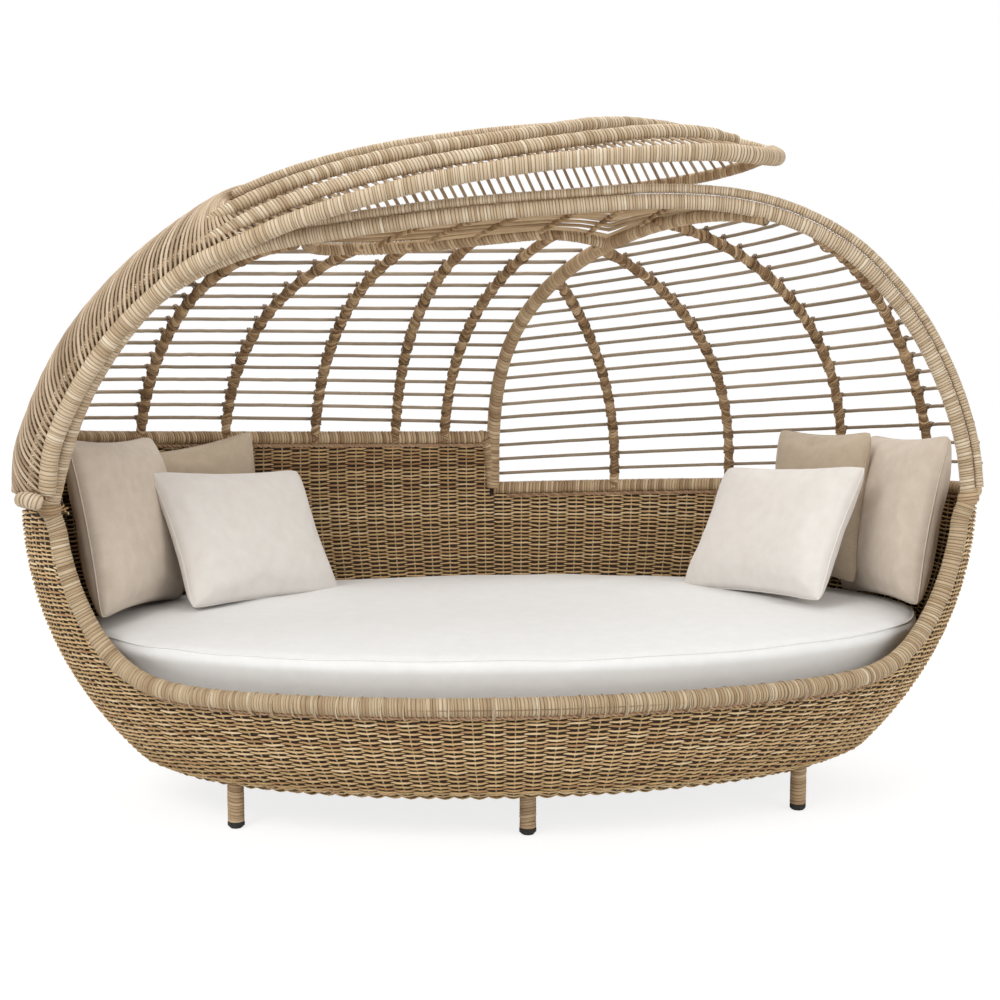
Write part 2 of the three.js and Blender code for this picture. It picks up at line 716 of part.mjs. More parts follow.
// Pillow: crowned on both faces, thin at its seam, with sides drawn in between the corners
function pillowGeometry(width, height, thickness) {
  const side = pillowCellCount + 1;
  const pillowPoint = (uShare, vShare, face) => {
    const [u, v] = [2 * uShare - 1, 2 * vShare - 1];
    const x = (width / 2) * u * (1 - pillowSideDrawInShare * (1 - v * v));
    const z = (height / 2) * v * (1 - pillowSideDrawInShare * (1 - u * u));
    const swell = ((1 - u ** pillowCornerPower) * (1 - v ** pillowCornerPower)) ** pillowSwellPower;
    const depth = lerp(pillowEdgeThickness, thickness, swell) / 2;
    return new THREE.Vector3(x, face * depth, z + height / 2);
  };
  const row = (v, face) => samples(pillowCellCount, (u) => pillowPoint(u, v, face));
  const points = [-1, 1].flatMap((face) => samples(pillowCellCount, (v) => row(v, face)).flat());
  const index = [];
  const quad = (a, b, c, d) => index.push(a, b, c, a, c, d);
  const back = side * side;
  for (let i = 0; i < pillowCellCount; i++) {
    for (let j = 0; j < pillowCellCount; j++) {
      const a = i * side + j;
      quad(a, a + 1, a + side + 1, a + side);
      quad(back + a, back + a + side, back + a + side + 1, back + a + 1);
    }
    quad(i, back + i, back + i + 1, i + 1);
    const top = pillowCellCount * side + i;
    quad(top, top + 1, back + top + 1, back + top);
    const left = i * side;
    quad(left, left + side, back + left + side, back + left);
    const right = left + pillowCellCount;
    quad(right, back + right, back + right + side, right + side);
  }
  const geometry = new THREE.BufferGeometry();
  geometry.setFromPoints(points);
  geometry.setIndex(index);
  return geometry;
}

// Lowers a piece onto what carries it, until only the fit gap is left between them
function lowerOnto(seat, geometry) {
  for (let i = 0; i < searchStepCount; i++) {
    const gap = toSolid(geometry).minGap(seat, cushionThickness);
    geometry.translate(0, 0, fitGap - gap);
  }
}

function addPillow(seat, { name, endShare, backShare, degrees }, sizes, material) {
  const [turn, lean, tilt] = degrees.map(degToRad);
  const side = name.endsWith('left') ? -1 : 1;
  const geometry = pillowGeometry(...sizes);
  geometry.rotateY(-tilt).rotateX(-lean).rotateZ(turn);
  const out = cushionWidth / 2 - endShare * creamPillowWidth;
  geometry.translate(side * out, (backShare * cushionDepth) / 2, 0);
  geometry.computeBoundingBox();
  const above = seat.boundingBox().max[2] + fitGap;
  geometry.translate(0, 0, above - geometry.boundingBox.min.z);
  lowerOnto(seat, geometry);
  addPiece('pillow_' + name, geometry, material);
}

function addPillows(seat) {
  const kinds = [
    [[creamPillowWidth, creamPillowHeight, creamPillowThickness], creamMaterial],
    [[beigePillowWidth, beigePillowHeight, beigePillowThickness], beigeMaterial],
    [[taupePillowWidth, taupePillowHeight, taupePillowThickness], taupeMaterial],
  ];
  pillowStands.forEach((stand, i) => addPillow(seat, stand, ...kinds[Math.floor(i / 2)]));
}

// Visor: a lune of rails and ribs that stands on the bowl's left shoulder and ends in a tip at the right
function visorCurve(shares) {
  return smoothCurve(shares.map(([x, y, z]) => {
    return new THREE.Vector3(x * archHalfWidth, y * archForward, waistHeight + z * visorTopRise);
  }));
}

const visorFront = visorCurve(visorFrontShares);
const visorTop = visorCurve(visorTopShares);
const visorRear = visorCurve(visorRearShares);

// Point of the visor's skin: across 0 is the front rail, 1 the top rib and 2 the rear rail
function visorPoint(along, across, outset = 0) {
  const top = visorTop.getPointAt(along);
  const edge = across <= 1 ? visorFront.getPointAt(along) : visorRear.getPointAt(along);
  const swing = (1 - Math.abs(1 - across)) * (Math.PI / 2);
  const rise = Math.sin(swing);
  const forward = 1 - Math.cos(swing);
  const tangent = visorTop.getTangentAt(along);
  const point = new THREE.Vector3(
    lerp(edge.x, top.x, rise),
    lerp(edge.y, top.y, forward),
    lerp(edge.z, top.z, rise),
  );
  point.x -= tangent.z * outset * rise;
  point.z += tangent.x * outset * rise;
  point.y -= Math.sign(1 - across) * outset * Math.cos(swing);
  return point;
}

function visorRib(across, reach) {
  const route = samples(denseStepCount, (share) => visorPoint(share * reach, across));
  return new Tube(spacedRoute(route, visorRibStepCount), visorRibDiameter, ribSideCount);
}

function makeVisorBase() {
  const height = waistHeight + visorBaseRise;
  const [startX, startY] = visorBaseStartShares;
  const front = new THREE.Vector3(startX * archHalfWidth, startY * archForward, height);
  const route = samples(visorBaseStepCount, (share) => {
    const inset = share === 0 ? 0 : visorBaseDiameter / 2;
    return bowlPoint(lerp(collarTurnShare, visorBaseEndShare, share), height, inset);
  });
  return new Tube(spacedRoute([front, ...route], visorBaseStepCount), visorBaseDiameter);
}

function visorStrands() {
  const outset = (visorRibDiameter + visorStrandDiameter) / 2 + visorLashingGap;
  const stops = [0, visorLowerRibShare, visorUpperRibShare, 1, visorBindingShare, 2];
  const alongAt = (share) => lerp(visorFirstStrandShare, visorLastStrandShare, share);
  const strands = samples(visorStrandCount - 1, (share) => {
    const route = stops.map((across) => visorPoint(alongAt(share), across, across % 2 === 0 ? 0 : outset));
    return tubeGeometry(route, visorStrandDiameter, rodSideCount);
  });
  const binding = samples(visorStrandCount - 1, (share) => {
    return visorPoint(alongAt(share), visorBindingShare, outset + visorStrandDiameter / 2);
  });
  return joined([...strands, tubeGeometry(binding, visorStrandDiameter, rodSideCount)]);
}

function addVisor(neighbours) {
  const base = makeVisorBase();
  const front = new Tube(visorFront.getSpacedPoints(visorFrontStepCount), visorRailDiameter);
  const rear = new Tube(visorRear.getSpacedPoints(visorRearStepCount), visorRearDiameter, ribSideCount);
  const top = new Tube(visorTop.getSpacedPoints(visorTopStepCount), visorRibDiameter, ribSideCount);
  const lower = visorRib(visorLowerRibShare, visorLowerRibEndShare);
  const upper = visorRib(visorUpperRibShare, visorUpperRibEndShare);
  addPiece('visor_base_rail', cutBy(base.geometry, ...neighbours), caneLightMaterial);
  addPiece('visor_front_rail', cutBy(front.geometry, base.cutter, ...neighbours), caneLightMaterial);
  const ends = [base.cutter, front.cutter];
  addPiece('visor_top_rib', cutBy(top.geometry, ...ends), caneMaterial);
  addPiece('visor_rear_rail', cutBy(rear.geometry, top.cutter, ...ends), caneMaterial);
  addPiece('visor_lower_rib', cutBy(lower.geometry, ...ends, ...neighbours), caneMaterial);
  addPiece('visor_upper_rib', cutBy(upper.geometry, lower.cutter, top.cutter, ...ends), caneMaterial);
  addPiece('visor_strands', cutBy(visorStrands(), front.cutter, rear.cutter), caneMaterial);
  return [base, top, rear];
}

// Canopy: ribs that lean to the crown, a ridge beam and three screens of thin rods
function seamTurnAt(height) {
  let turn = seamTurnShare;
  for (let i = 0; i < searchStepCount; i++) turn = ribTurn(seamRibShares, liftAtHeight(turn, height));
  return turn;
}

function ridgeLiftAt(turn) {
  const last = ridgeOutlineShares.length - 1;
  if (turn < ridgeOutlineShares[0][0] || turn > ridgeOutlineShares[last][0]) return 1;
  const i = ridgeOutlineShares.findIndex(([end]) => end >= turn);
  const [[turnA, liftA], [turnB, liftB]] = [ridgeOutlineShares[Math.max(0, i - 1)], ridgeOutlineShares[i]];
  return turnA === turnB ? liftA : lerp(liftA, liftB, (turn - turnA) / (turnB - turnA));
}

// Turn at which a rod of this height profile crosses a rib
function crossingTurn(rib, heightAt) {
  let turn = rib.footShare;
  for (let i = 0; i < searchStepCount; i++) {
    turn = lerp(turn, ribTurn(rib, Math.min(rib.reachShare, liftAtHeight(turn, heightAt(turn)))), 1 / 2);
  }
  return turn;
}

// Turns from start to end with a stop at each rib crossed and one half way along each wide span
function rodStops(start, end, crossings) {
  const length = Math.abs(end - start);
  const inside = crossings.filter((turn) => {
    return Math.max(Math.abs(turn - start), Math.abs(turn - end) + rodEndShare) < length;
  });
  const stops = [start, ...inside, end].sort((a, b) => Math.abs(a - start) - Math.abs(b - start));
  return stops.flatMap((stop, i) => {
    if (i === 0) return [stop];
    const parts = Math.ceil(Math.abs(stop - stops[i - 1]) / rodSpanShare);
    return samples(parts, (share) => lerp(stops[i - 1], stop, share)).slice(1);
  });
}

// Route of a rod from the seam rib sideways, until it meets the ridge beam or the arch
function rodRoute(height, climb, side, ribs) {
  const start = seamTurnAt(height);
  const heightAt = (turn) => height + climb * Math.abs(turn - start);
  const meets = (turn) => {
    const share = (heightAt(turn) - waistHeight) / (archPoint(turn).z - waistHeight);
    const lift = Math.asin(clamp(share, 0, 1)) / (Math.PI / 2);
    return lift >= (side < 0 ? ridgeLiftAt(turn) - rodRidgeGapShare : 1);
  };
  const edge = side < 0 ? 0 : 1;
  const end = samples(4 * denseStepCount, (share) => lerp(start, edge, share)).find(meets) ?? edge;
  const crossings = ribs.map((rib) => crossingTurn(rib, heightAt));
  return rodStops(start + side * rodStartShare, end, crossings).map((turn) => {
    const level = heightAt(turn);
    if (level < waistHeight) return bowlPoint(turn, level, -rodOutset());
    return domePoint(turn, liftAtHeight(turn, level), rodOutset());
  });
}

function rodOutset() {
  return (ribDiameter + rodDiameter) / 2 + lashingGap - bowlWall / 2;
}

function bindingTube(rib, fromHeight, steps) {
  const outset = rodOutset() + bindingDiameter / 2;
  const startLift = liftAtHeight(rib.footShare, Math.max(fromHeight, waistHeight));
  const low = fromHeight < waistHeight ? [bowlPoint(rib.footShare, fromHeight, -outset)] : [];
  const route = samples(steps, (share) => {
    const lift = lerp(startLift, rib.reachShare, share);
    return domePoint(ribTurn(rib, lift), lift, outset);
  });
  return tubeGeometry([...low, ...route], bindingDiameter, rodSideCount);
}

// Height of a rod over the rail: the rods lie closer together where the dome leans over
function rodRise(index, count, pitch, topPitch) {
  const place = index + 1 / 2;
  return pitch * place - ((pitch - topPitch) * place ** 2) / (2 * count);
}

function leftScreen() {
  const rods = Array.from({ length: leftRodCount }, (_, i) => {
    const rise = rodRise(i, leftRodCount, leftRodPitch, leftRodTopPitch);
    const height = leftRailHeight + railDiameter / 2 + rise;
    const climb = leftRodClimb * ((leftRodLevelHeight - height) / (leftRodLevelHeight - leftRailHeight));
    return tubeGeometry(rodRoute(height, climb, -1, leftRibShares), rodDiameter, rodSideCount);
  });
  const rib = leftRibShares.find(({ bound }) => bound);
  const foot = railHeight(rib.footShare) + railDiameter / 2;
  return joined([...rods, bindingTube(rib, foot, leftBindingStepCount)]);
}

function rightScreen() {
  const rods = Array.from({ length: rightRodCount }, (_, i) => {
    const rise = rodRise(i, rightRodCount, rightRodPitch, rightRodTopPitch);
    const height = rightRailHeight + railDiameter / 2 + rise;
    const climb = rightRodClimb + rightRodClimbShare * (height - rightRailHeight);
    return tubeGeometry(rodRoute(height, climb, 1, rightRibShares), rodDiameter, rodSideCount);
  });
  const rib = rightRibShares.find(({ bound }) => bound);
  const foot = railHeight(rib.footShare) + railDiameter / 2;
  return joined([...rods, bindingTube(rib, foot, rightBindingStepCount)]);
}

function roofScreen() {
  const [firstTurn] = ridgeOutlineShares[0];
  const rods = Array.from({ length: roofRodCount }, (_, i) => {
    const share = (i + 1) / (roofRodCount + 1);
    const route = samples(roofRodStepCount, (place) => {
      const turn = lerp(firstTurn, seamRibShares.headShare, place);
      return domePoint(turn, lerp(ridgeLiftAt(turn), 1, share), rodOutset());
    });
    return tubeGeometry(route, rodDiameter, rodSideCount);
  });
  const outset = rodOutset() + bindingDiameter / 2;
  const ridgeLift = ridgeLiftAt(roofBindingShare);
  const binding = samples(roofBindingStepCount, (share) => {
    return domePoint(roofBindingShare, lerp(ridgeLift, 1, share), outset);
  });
  return joined([...rods, tubeGeometry(binding, bindingDiameter, rodSideCount)]);
}

function addCanopy({ arch, seam, leftRail, rightRail }) {
  const ridge = makeRidge();
  addPiece('ridge_beam', cutBy(ridge.geometry, arch.cutter, seam.cutter), ribMaterial);
  leftRibShares.forEach((rib, i) => {
    const tube = makeRib(rib, ribDiameter, ribStepCount, ribSideCount);
    const geometry = cutBy(tube.geometry, leftRail.cutter, ridge.cutter, arch.cutter);
    addPiece('left_rib_' + (i + 1), geometry, ribMaterial);
  });
  rightRibShares.forEach((rib, i) => {
    const tube = makeRib(rib, ribDiameter, ribStepCount, ribSideCount);
    const geometry = cutBy(tube.geometry, rightRail.cutter, seam.cutter, arch.cutter);
    addPiece('right_rib_' + (i + 1), geometry, ribMaterial);
  });
  const edges = [arch.cutter, seam.cutter];
  addPiece('left_rods', cutBy(leftScreen(), ...edges), caneMaterial);
  addPiece('right_rods', cutBy(rightScreen(), ...edges), caneMaterial);
  addPiece('roof_rods', cutBy(roofScreen(), ...edges), caneMaterial);
}

function makeMainTubes() {
  const leftEnd = railEnd(0, ledgeTurnShare) + railOverrunShare;
  const rightEnd = railEnd(1, 1 - ledgeTurnShare) - railOverrunShare;
  return {
    arch: makeArch(),
    bead: makeArchBead(),
    rim: makeRim(),
    leftRail: makeRail(leftEnd, seamTurnShare, leftRailAt),
    rightRail: makeRail(seamTurnShare, rightEnd, rightRailAt),
    seam: makeRib(seamRibShares, seamDiameter, seamStepCount, tubeSideCount),
  };
}

function addMainTubes({ arch, bead, rim, leftRail, rightRail, seam }) {
  const collars = [collarBlank(0, fitGap), collarBlank(1, fitGap)];
  const rightEnds = [arch.cutter, rim.cutter, seam.cutter, ...collars];
  addPiece('front_arch', arch.geometry, caneLightMaterial);
  addPiece('arch_bead', cutBy(bead.geometry, ...collars), caneLightMaterial);
  addPiece('front_rim', cutBy(rim.geometry, arch.cutter), caneLightMaterial);
  addPiece('left_rail', cutBy(leftRail.geometry, arch.cutter, seam.cutter), caneMaterial);
  addPiece('right_rail', cutBy(rightRail.geometry, ...rightEnds), caneMaterial);
  addPiece('seam_rib', cutBy(seam.geometry, arch.cutter), ribMaterial);
  addPiece('collar_left', cutBy(collarBlank(0), arch.cutter, rim.cutter), caneMaterial);
  addPiece('collar_right', cutBy(collarBlank(1), arch.cutter, rim.cutter), caneMaterial);
  return collars;
}

const tubes = makeMainTubes();
const collars = addMainTubes(tubes);
const fixedEdges = [tubes.arch.cutter, tubes.bead.cutter, tubes.rim.cutter, ...collars];
const visorFeet = addVisor(fixedEdges);
const wallEdges = [tubes.leftRail, tubes.rightRail, tubes.seam, ...visorFeet].map((tube) => tube.cutter);
addPiece('bowl', makeBowl([...fixedEdges, ...wallEdges]), caneMaterial);
addCanopy(tubes);
addLegs();
addSeatFrame();
addDeck();
addPillows(addSeatCushion());

// The part's origin is on the floor, below the middle of its outer box.
const middle = new THREE.Box3().setFromObject(daybed).getCenter(new THREE.Vector3());
daybed.position.set(-middle.x, -middle.y, 0);

export default daybed;
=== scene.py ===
"""Dresses the canopy daybed: woven bowl, wrapped tubes, lashed canes, cushions, floor, lights and camera.

Routes are worked out in millimetres with the bowl's middle on the floor as zero, as in the part's
source, and moved and scaled to the frame's metres when a mesh is made.
"""

import math

import bpy
import numpy as np
from mathutils import Euler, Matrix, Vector


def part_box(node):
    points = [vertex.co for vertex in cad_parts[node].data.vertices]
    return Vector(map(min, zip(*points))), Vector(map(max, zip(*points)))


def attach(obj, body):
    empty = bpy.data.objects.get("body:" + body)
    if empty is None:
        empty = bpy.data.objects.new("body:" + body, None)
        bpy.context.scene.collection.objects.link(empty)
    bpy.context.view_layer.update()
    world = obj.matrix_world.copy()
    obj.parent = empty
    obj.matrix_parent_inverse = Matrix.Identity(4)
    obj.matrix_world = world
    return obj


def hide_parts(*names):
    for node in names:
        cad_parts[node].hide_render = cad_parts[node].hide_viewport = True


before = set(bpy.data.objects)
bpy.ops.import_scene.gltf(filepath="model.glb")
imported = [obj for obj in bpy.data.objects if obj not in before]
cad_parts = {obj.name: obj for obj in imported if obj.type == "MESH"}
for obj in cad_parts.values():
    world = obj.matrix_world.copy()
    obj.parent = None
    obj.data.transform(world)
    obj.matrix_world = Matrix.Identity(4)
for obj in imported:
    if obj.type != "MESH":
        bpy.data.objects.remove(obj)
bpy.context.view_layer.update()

MM = 0.001
ROOT_BODY = "daybed"

# Bowl and canopy, as in the part's source
BOWL_WIDTH, BOWL_DEPTH = 2130, 1150
WAIST = 675
ROUNDING_DROP = 860
FULLNESS = 2.1
BASE_HEIGHT = 86
WALL = 18
BASE_ROUND = 26
BASE_RETURN = 112
LEDGE_WIDTH, LEDGE_HEIGHT, LEDGE_TURN = 30, 30, 0.16
ARCH_FORWARD, ARCH_RISE = 240, 632
ARCH_DIAMETER, BEAD_DIAMETER = 32, 20
ARCH_OUTLINE = [
    [-1, 0], [-0.968, 0.18], [-0.935, 0.32], [-0.892, 0.445], [-0.835, 0.57], [-0.766, 0.683],
    [-0.68, 0.768], [-0.55, 0.845], [-0.38, 0.893], [-0.16, 0.94], [0.08, 0.973], [0.3, 0.993],
    [0.47, 0.978], [0.6, 0.925], [0.72, 0.825], [0.813, 0.69], [0.876, 0.565], [0.926, 0.43],
    [0.963, 0.297], [0.989, 0.16], [1.003, 0],
]
RIM_DIAMETER, RIM_LOW, RIM_BEND = 38, 308, 4.4
RAIL_DIAMETER, SEAM_DIAMETER, SEAM_TURN = 32, 34, 0.505
LEFT_RAIL = (748, 96, 1.7)
RIGHT_RAIL = (616, 70, 1.3)
COLLAR_DIAMETER, COLLAR_HEIGHT, COLLAR_TURN = 46, 40, 0.014
RIB_DIAMETER, RIB_INSET = 22, 12
SEAM_RIB = (0.505, 0.69, 1, 3.1)
LEFT_RIBS = [
    (0.264, 0.31, 1, 2.5), (0.333, 0.388, 0.79, 3), (0.394, 0.425, 0.765, 2.8),
    (0.445, 0.472, 0.765, 3), (0.475, 0.53, 0.785, 2.6),
]
RIGHT_RIBS = [
    (0.58, 0.537, 0.56, 2), (0.655, 0.558, 0.7, 2.3), (0.74, 0.598, 0.84, 2.6), (0.83, 0.735, 1, 1.8),
]
RIDGE_OUTLINE = [
    [0.325, 1], [0.333, 0.9], [0.346, 0.83], [0.362, 0.795], [0.38, 0.778], [0.4, 0.76], [0.44, 0.752],
    [0.48, 0.765], [0.52, 0.775], [0.545, 0.75], [0.57, 0.7],
]
ROD_DIAMETER, ROD_OUTSET = 8, 7.5
LEFT_ROD_PITCH, LEFT_ROD_TOP_PITCH, LEFT_ROD_COUNT = 35.5, 25, 15
LEFT_ROD_CLIMB, LEFT_ROD_LEVEL = 174, 1120
RIGHT_ROD_PITCH, RIGHT_ROD_TOP_PITCH, RIGHT_ROD_COUNT = 37, 27, 19
RIGHT_ROD_CLIMB, RIGHT_ROD_CLIMB_SHARE = 175, 0.7
ROD_RIDGE_GAP = 0.014
ROD_STEPS = 480
ROOF_CANES, ROOF_START, ROOF_MEETS_RIDGE = 20, 0.283, 0.346
ROOF_TIES, ROOF_TIE_DIAMETER = (0.4, 0.437, 0.47, 0.515, 0.55, 0.585), 12
SCREEN_MIDDLE = np.array([0, 0, 600.0])

# Visor
VISOR_RISE = ARCH_RISE + 168
VISOR_RAIL_DIAMETER, VISOR_REAR_DIAMETER, VISOR_RIB_DIAMETER = 36, 26, 20
VISOR_BASE_DIAMETER, VISOR_BASE_RISE, VISOR_BASE_END = 28, 5, 0.142
VISOR_MIDDLE = np.array([0, -60, 675.0])
VISOR_BASE_ROLL = [[-972, -298, 694], [-1000, -294, 702], [-1018, -270, 700]]
VISOR_FRONT = [
    [-1.001, -1.14, 0.04], [-0.987, -1.14, 0.16], [-0.95, -1.14, 0.266], [-0.903, -1.14, 0.363],
    [-0.841, -1.14, 0.459], [-0.765, -1.14, 0.547], [-0.69, -1.15, 0.617], [-0.595, -1.18, 0.67],
    [-0.495, -1.22, 0.722], [-0.363, -1.25, 0.775], [-0.233, -1.25, 0.818], [-0.1, -1.25, 0.85],
    [0.03, -1.25, 0.874], [0.157, -1.25, 0.89], [0.284, -1.25, 0.9], [0.413, -1.23, 0.905],
    [0.495, -1.14, 0.9], [0.545, -0.95, 0.9], [0.573, -0.68, 0.908], [0.573, -0.42, 0.925],
]
VISOR_TOP = [
    [-1.09, -0.2, 0.02], [-1.083, -0.2, 0.133], [-1.053, -0.2, 0.239], [-1.013, -0.2, 0.345],
    [-0.96, -0.2, 0.451], [-0.888, -0.2, 0.556], [-0.797, -0.2, 0.661], [-0.676, -0.2, 0.767],
    [-0.579, -0.2, 0.829], [-0.47, -0.2, 0.879], [-0.359, -0.2, 0.916], [-0.249, -0.2, 0.944],
    [-0.138, -0.2, 0.964], [-0.026, -0.2, 0.981], [0.086, -0.2, 0.992], [0.199, -0.2, 1],
    [0.312, -0.2, 0.996], [0.42, -0.22, 0.98], [0.505, -0.3, 0.955], [0.573, -0.45, 0.928],
]
VISOR_REAR = [
    [-1.087, 0.4, 0.02], [-1.075, 0.42, 0.14], [-1.035, 0.42, 0.26], [-0.97, 0.42, 0.38],
    [-0.882, 0.42, 0.5], [-0.77, 0.42, 0.605], [-0.645, 0.42, 0.68], [-0.52, 0.42, 0.722],
    [-0.405, 0.42, 0.745], [-0.243, 0.42, 0.772], [-0.01, 0.42, 0.8], [0.13, 0.42, 0.82],
    [0.32, 0.4, 0.845], [0.46, 0.25, 0.872], [0.535, 0, 0.895], [0.573, -0.32, 0.915],
]
VISOR_LOWER_RIB = {"across": 0.24, "bend": 0.62, "reach": 0.93, "last": 0.45}
VISOR_UPPER_RIB = {"across": 0.48, "bend": 0.66, "reach": 0.93, "last": 1.0}
VISOR_CLOSE_PITCH, VISOR_RUNG_PITCH, VISOR_STRAND_WIDTH, VISOR_RIB_SWELL = 12.4, 22, 8.4, 3.2
VISOR_OPEN_FROM, VISOR_OPEN_TO = 0.3, 0.4
VISOR_STRANDS_FROM, VISOR_STRANDS_TO = -0.15, 0.955
VISOR_LEAN_LOW, VISOR_LEAN_HIGH = 0.15, 0.235
VISOR_BACK_FROM, VISOR_BACK_PITCH, VISOR_BACK_LEAN = 0.05, 26, -0.09

# Legs, cushion and pillows
LEG_DIAMETER, LEG_TOP, LEG_BOTTOM = 35, 234, 13.3
SIDE_LEG_OUT, SIDE_LEG_FORWARD, MIDDLE_LEG_FORWARD = 604, 255, 362
CUSHION_BACK = 6
CUSHION_HALF, CUSHION_DEPTH, CUSHION_THICKNESS = 943, 512, 120
CUSHION_ROUNDING, CUSHION_FLARE, CUSHION_CROWN = 28, 24, 14
CUSHION_SEGMENTS, UPPER_SEAM, LOWER_SEAM = 128, 10, 19
PILLOW_PIPING, CUSHION_PIPING = 0.0019, 0.0022
PILLOW_SIZES = {"cream": (477, 357, 108), "beige": (424, 414, 110), "taupe": (360, 380, 78)}
PILLOW_DRAW, CORNER_DRAW = 0.07, 0.06
PILLOW_TURNS = {
    "pillow_cream_left": (45.6, 29.5, -4.5), "pillow_cream_right": (-62.6, 30.4, 5.3),
    "pillow_beige_left": (70.5, 12, -3.8), "pillow_beige_right": (-84.2, 12, 4.8),
    "pillow_taupe_left": (32, 4, 7), "pillow_taupe_right": (-67.4, 8.7, 3),
}
PILLOW_SHIFTS = {
    "pillow_cream_left": (-13, -4, -6), "pillow_cream_right": (-4, -6, -5), "pillow_beige_left": (-9, -2, 4),
    "pillow_beige_right": (4, 0, 5), "pillow_taupe_left": (0, 0, 16), "pillow_taupe_right": (8, 8, 4),
}

# The wraps of the ridge beam and of the visor's base rail stand out a little past the source's tubes
RIDGE_WRAP, VISOR_BASE_WRAP = 28, VISOR_BASE_DIAMETER + 5

HALF_WIDTH, HALF_DEPTH = BOWL_WIDTH / 2, BOWL_DEPTH / 2
COLLAR_ANGLE = math.asin(ARCH_FORWARD / HALF_DEPTH)
ARCH_HALF = HALF_WIDTH * math.cos(COLLAR_ANGLE)
BACK_ANGLE, FRONT_ANGLE = math.pi + 2 * COLLAR_ANGLE, math.pi - 2 * COLLAR_ANGLE

ring_low, ring_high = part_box("seat_ring")
MIDDLE = np.array([(ring_low.x + ring_high.x) / 2, (ring_low.y + ring_high.y) / 2, 0.0])


# Curves and surfaces of the part

TANGENT_STEP = 0.002
HALVINGS = 30


def unit(vectors):
    return vectors / np.maximum(np.linalg.norm(vectors, axis=-1, keepdims=True), 1e-9)


def path_runs(points):
    """Length along a route up to each of its points."""
    return np.concatenate([[0], np.cumsum(np.linalg.norm(np.diff(points, axis=0), axis=1))])


def round_angles(count):
    return np.arange(count) / count * 2 * math.pi


def lerp(a, b, share):
    return a + (b - a) * share


def smoothstep(x, low, high):
    share = np.clip((x - low) / (high - low), 0, 1)
    return share * share * (3 - 2 * share)


class Curve:
    """Centripetal spline through points, read by share of its length."""

    def __init__(self, points, per_span=24):
        p = np.asarray(points, float)
        ends = np.vstack([2 * p[0] - p[1], p, 2 * p[-1] - p[-2]])
        steps = np.sqrt(np.linalg.norm(np.diff(ends, axis=0), axis=1))
        t = np.linspace(0, 1, per_span, endpoint=False)[:, None]
        parts = []
        for i in range(len(p) - 1):
            p0, p1, p2, p3 = ends[i:i + 4]
            d0, d1, d2 = steps[i:i + 3]
            m1 = ((p1 - p0) / d0 - (p2 - p0) / (d0 + d1) + (p2 - p1) / d1) * d1
            m2 = ((p2 - p1) / d1 - (p3 - p1) / (d1 + d2) + (p3 - p2) / d2) * d1
            bend = (3 * (p2 - p1) - 2 * m1 - m2) * t ** 2 + (2 * (p1 - p2) + m1 + m2) * t ** 3
            parts.append(p1 + m1 * t + bend)
        self.points = np.vstack(parts + [p[-1:]])
        self.runs = path_runs(self.points)
        self.length = self.runs[-1]

    def at(self, share):
        run = np.clip(np.asarray(share, float), 0, 1) * self.length
        return np.stack([np.interp(run, self.runs, axis) for axis in self.points.T], -1)

    def tangent(self, share):
        share = np.asarray(share, float)
        return unit(self.at(share + TANGENT_STEP) - self.at(share - TANGENT_STEP))


def plan_angle(turn):
    turn = np.asarray(turn, float)
    back = math.pi + COLLAR_ANGLE - turn * BACK_ANGLE
    return np.where(turn <= 1, back, -COLLAR_ANGLE - (turn - 1) * FRONT_ANGLE)


def bowl_point(turn, height, inset=0.0):
    drop = np.maximum(0, WAIST - np.asarray(height, float)) / ROUNDING_DROP
    scale = (1 - drop ** FULLNESS) ** (1 / FULLNESS)
    angle = plan_angle(turn)
    x = (HALF_WIDTH * scale - inset) * np.cos(angle)
    y = (HALF_DEPTH * scale - inset) * np.sin(angle)
    return np.stack(np.broadcast_arrays(x, y, np.asarray(height, float)), -1)


ARCH = Curve([[x * ARCH_HALF, -ARCH_FORWARD, WAIST + z * ARCH_RISE] for x, z in ARCH_OUTLINE])


def arch_point(share, outset=0.0):
    along = ARCH.tangent(share)
    side = np.stack([-along[..., 2], np.zeros_like(along[..., 0]), along[..., 0]], -1)
    return ARCH.at(share) + side * np.asarray(outset)[..., None]


def ledge_inset(turn):
    return LEDGE_WIDTH * (1 - smoothstep(np.asarray(turn, float), LEDGE_TURN, 2 * LEDGE_TURN))


def dome_point(turn, lift, outset=0.0):
    wall = bowl_point(turn, WAIST, ledge_inset(turn) - outset)
    top = arch_point(turn, np.broadcast_to(outset, np.shape(turn)))
    swing = np.asarray(lift, float) * (math.pi / 2)
    flat = lerp(wall, top, (1 - np.cos(swing))[..., None])
    flat[..., 2] = lerp(WAIST, top[..., 2], np.sin(swing))
    return flat


def lift_at(turn, height):
    rise = arch_point(turn)[..., 2] - WAIST
    return np.arcsin(np.clip((height - WAIST) / np.maximum(rise, 1e-6), 0, 1)) / (math.pi / 2)


def wall_point(turn, height, inset=0.0):
    turn, height = np.broadcast_arrays(np.asarray(turn, float), np.asarray(height, float))
    step = smoothstep(height, WAIST - LEDGE_HEIGHT, WAIST)
    ledge = np.where(turn <= 1, ledge_inset(turn) * step, 0)
    low = bowl_point(turn, height, inset + ledge)
    high = dome_point(np.minimum(turn, 1), lift_at(np.minimum(turn, 1), height), -inset)
    return np.where((height > WAIST)[..., None], high, low)


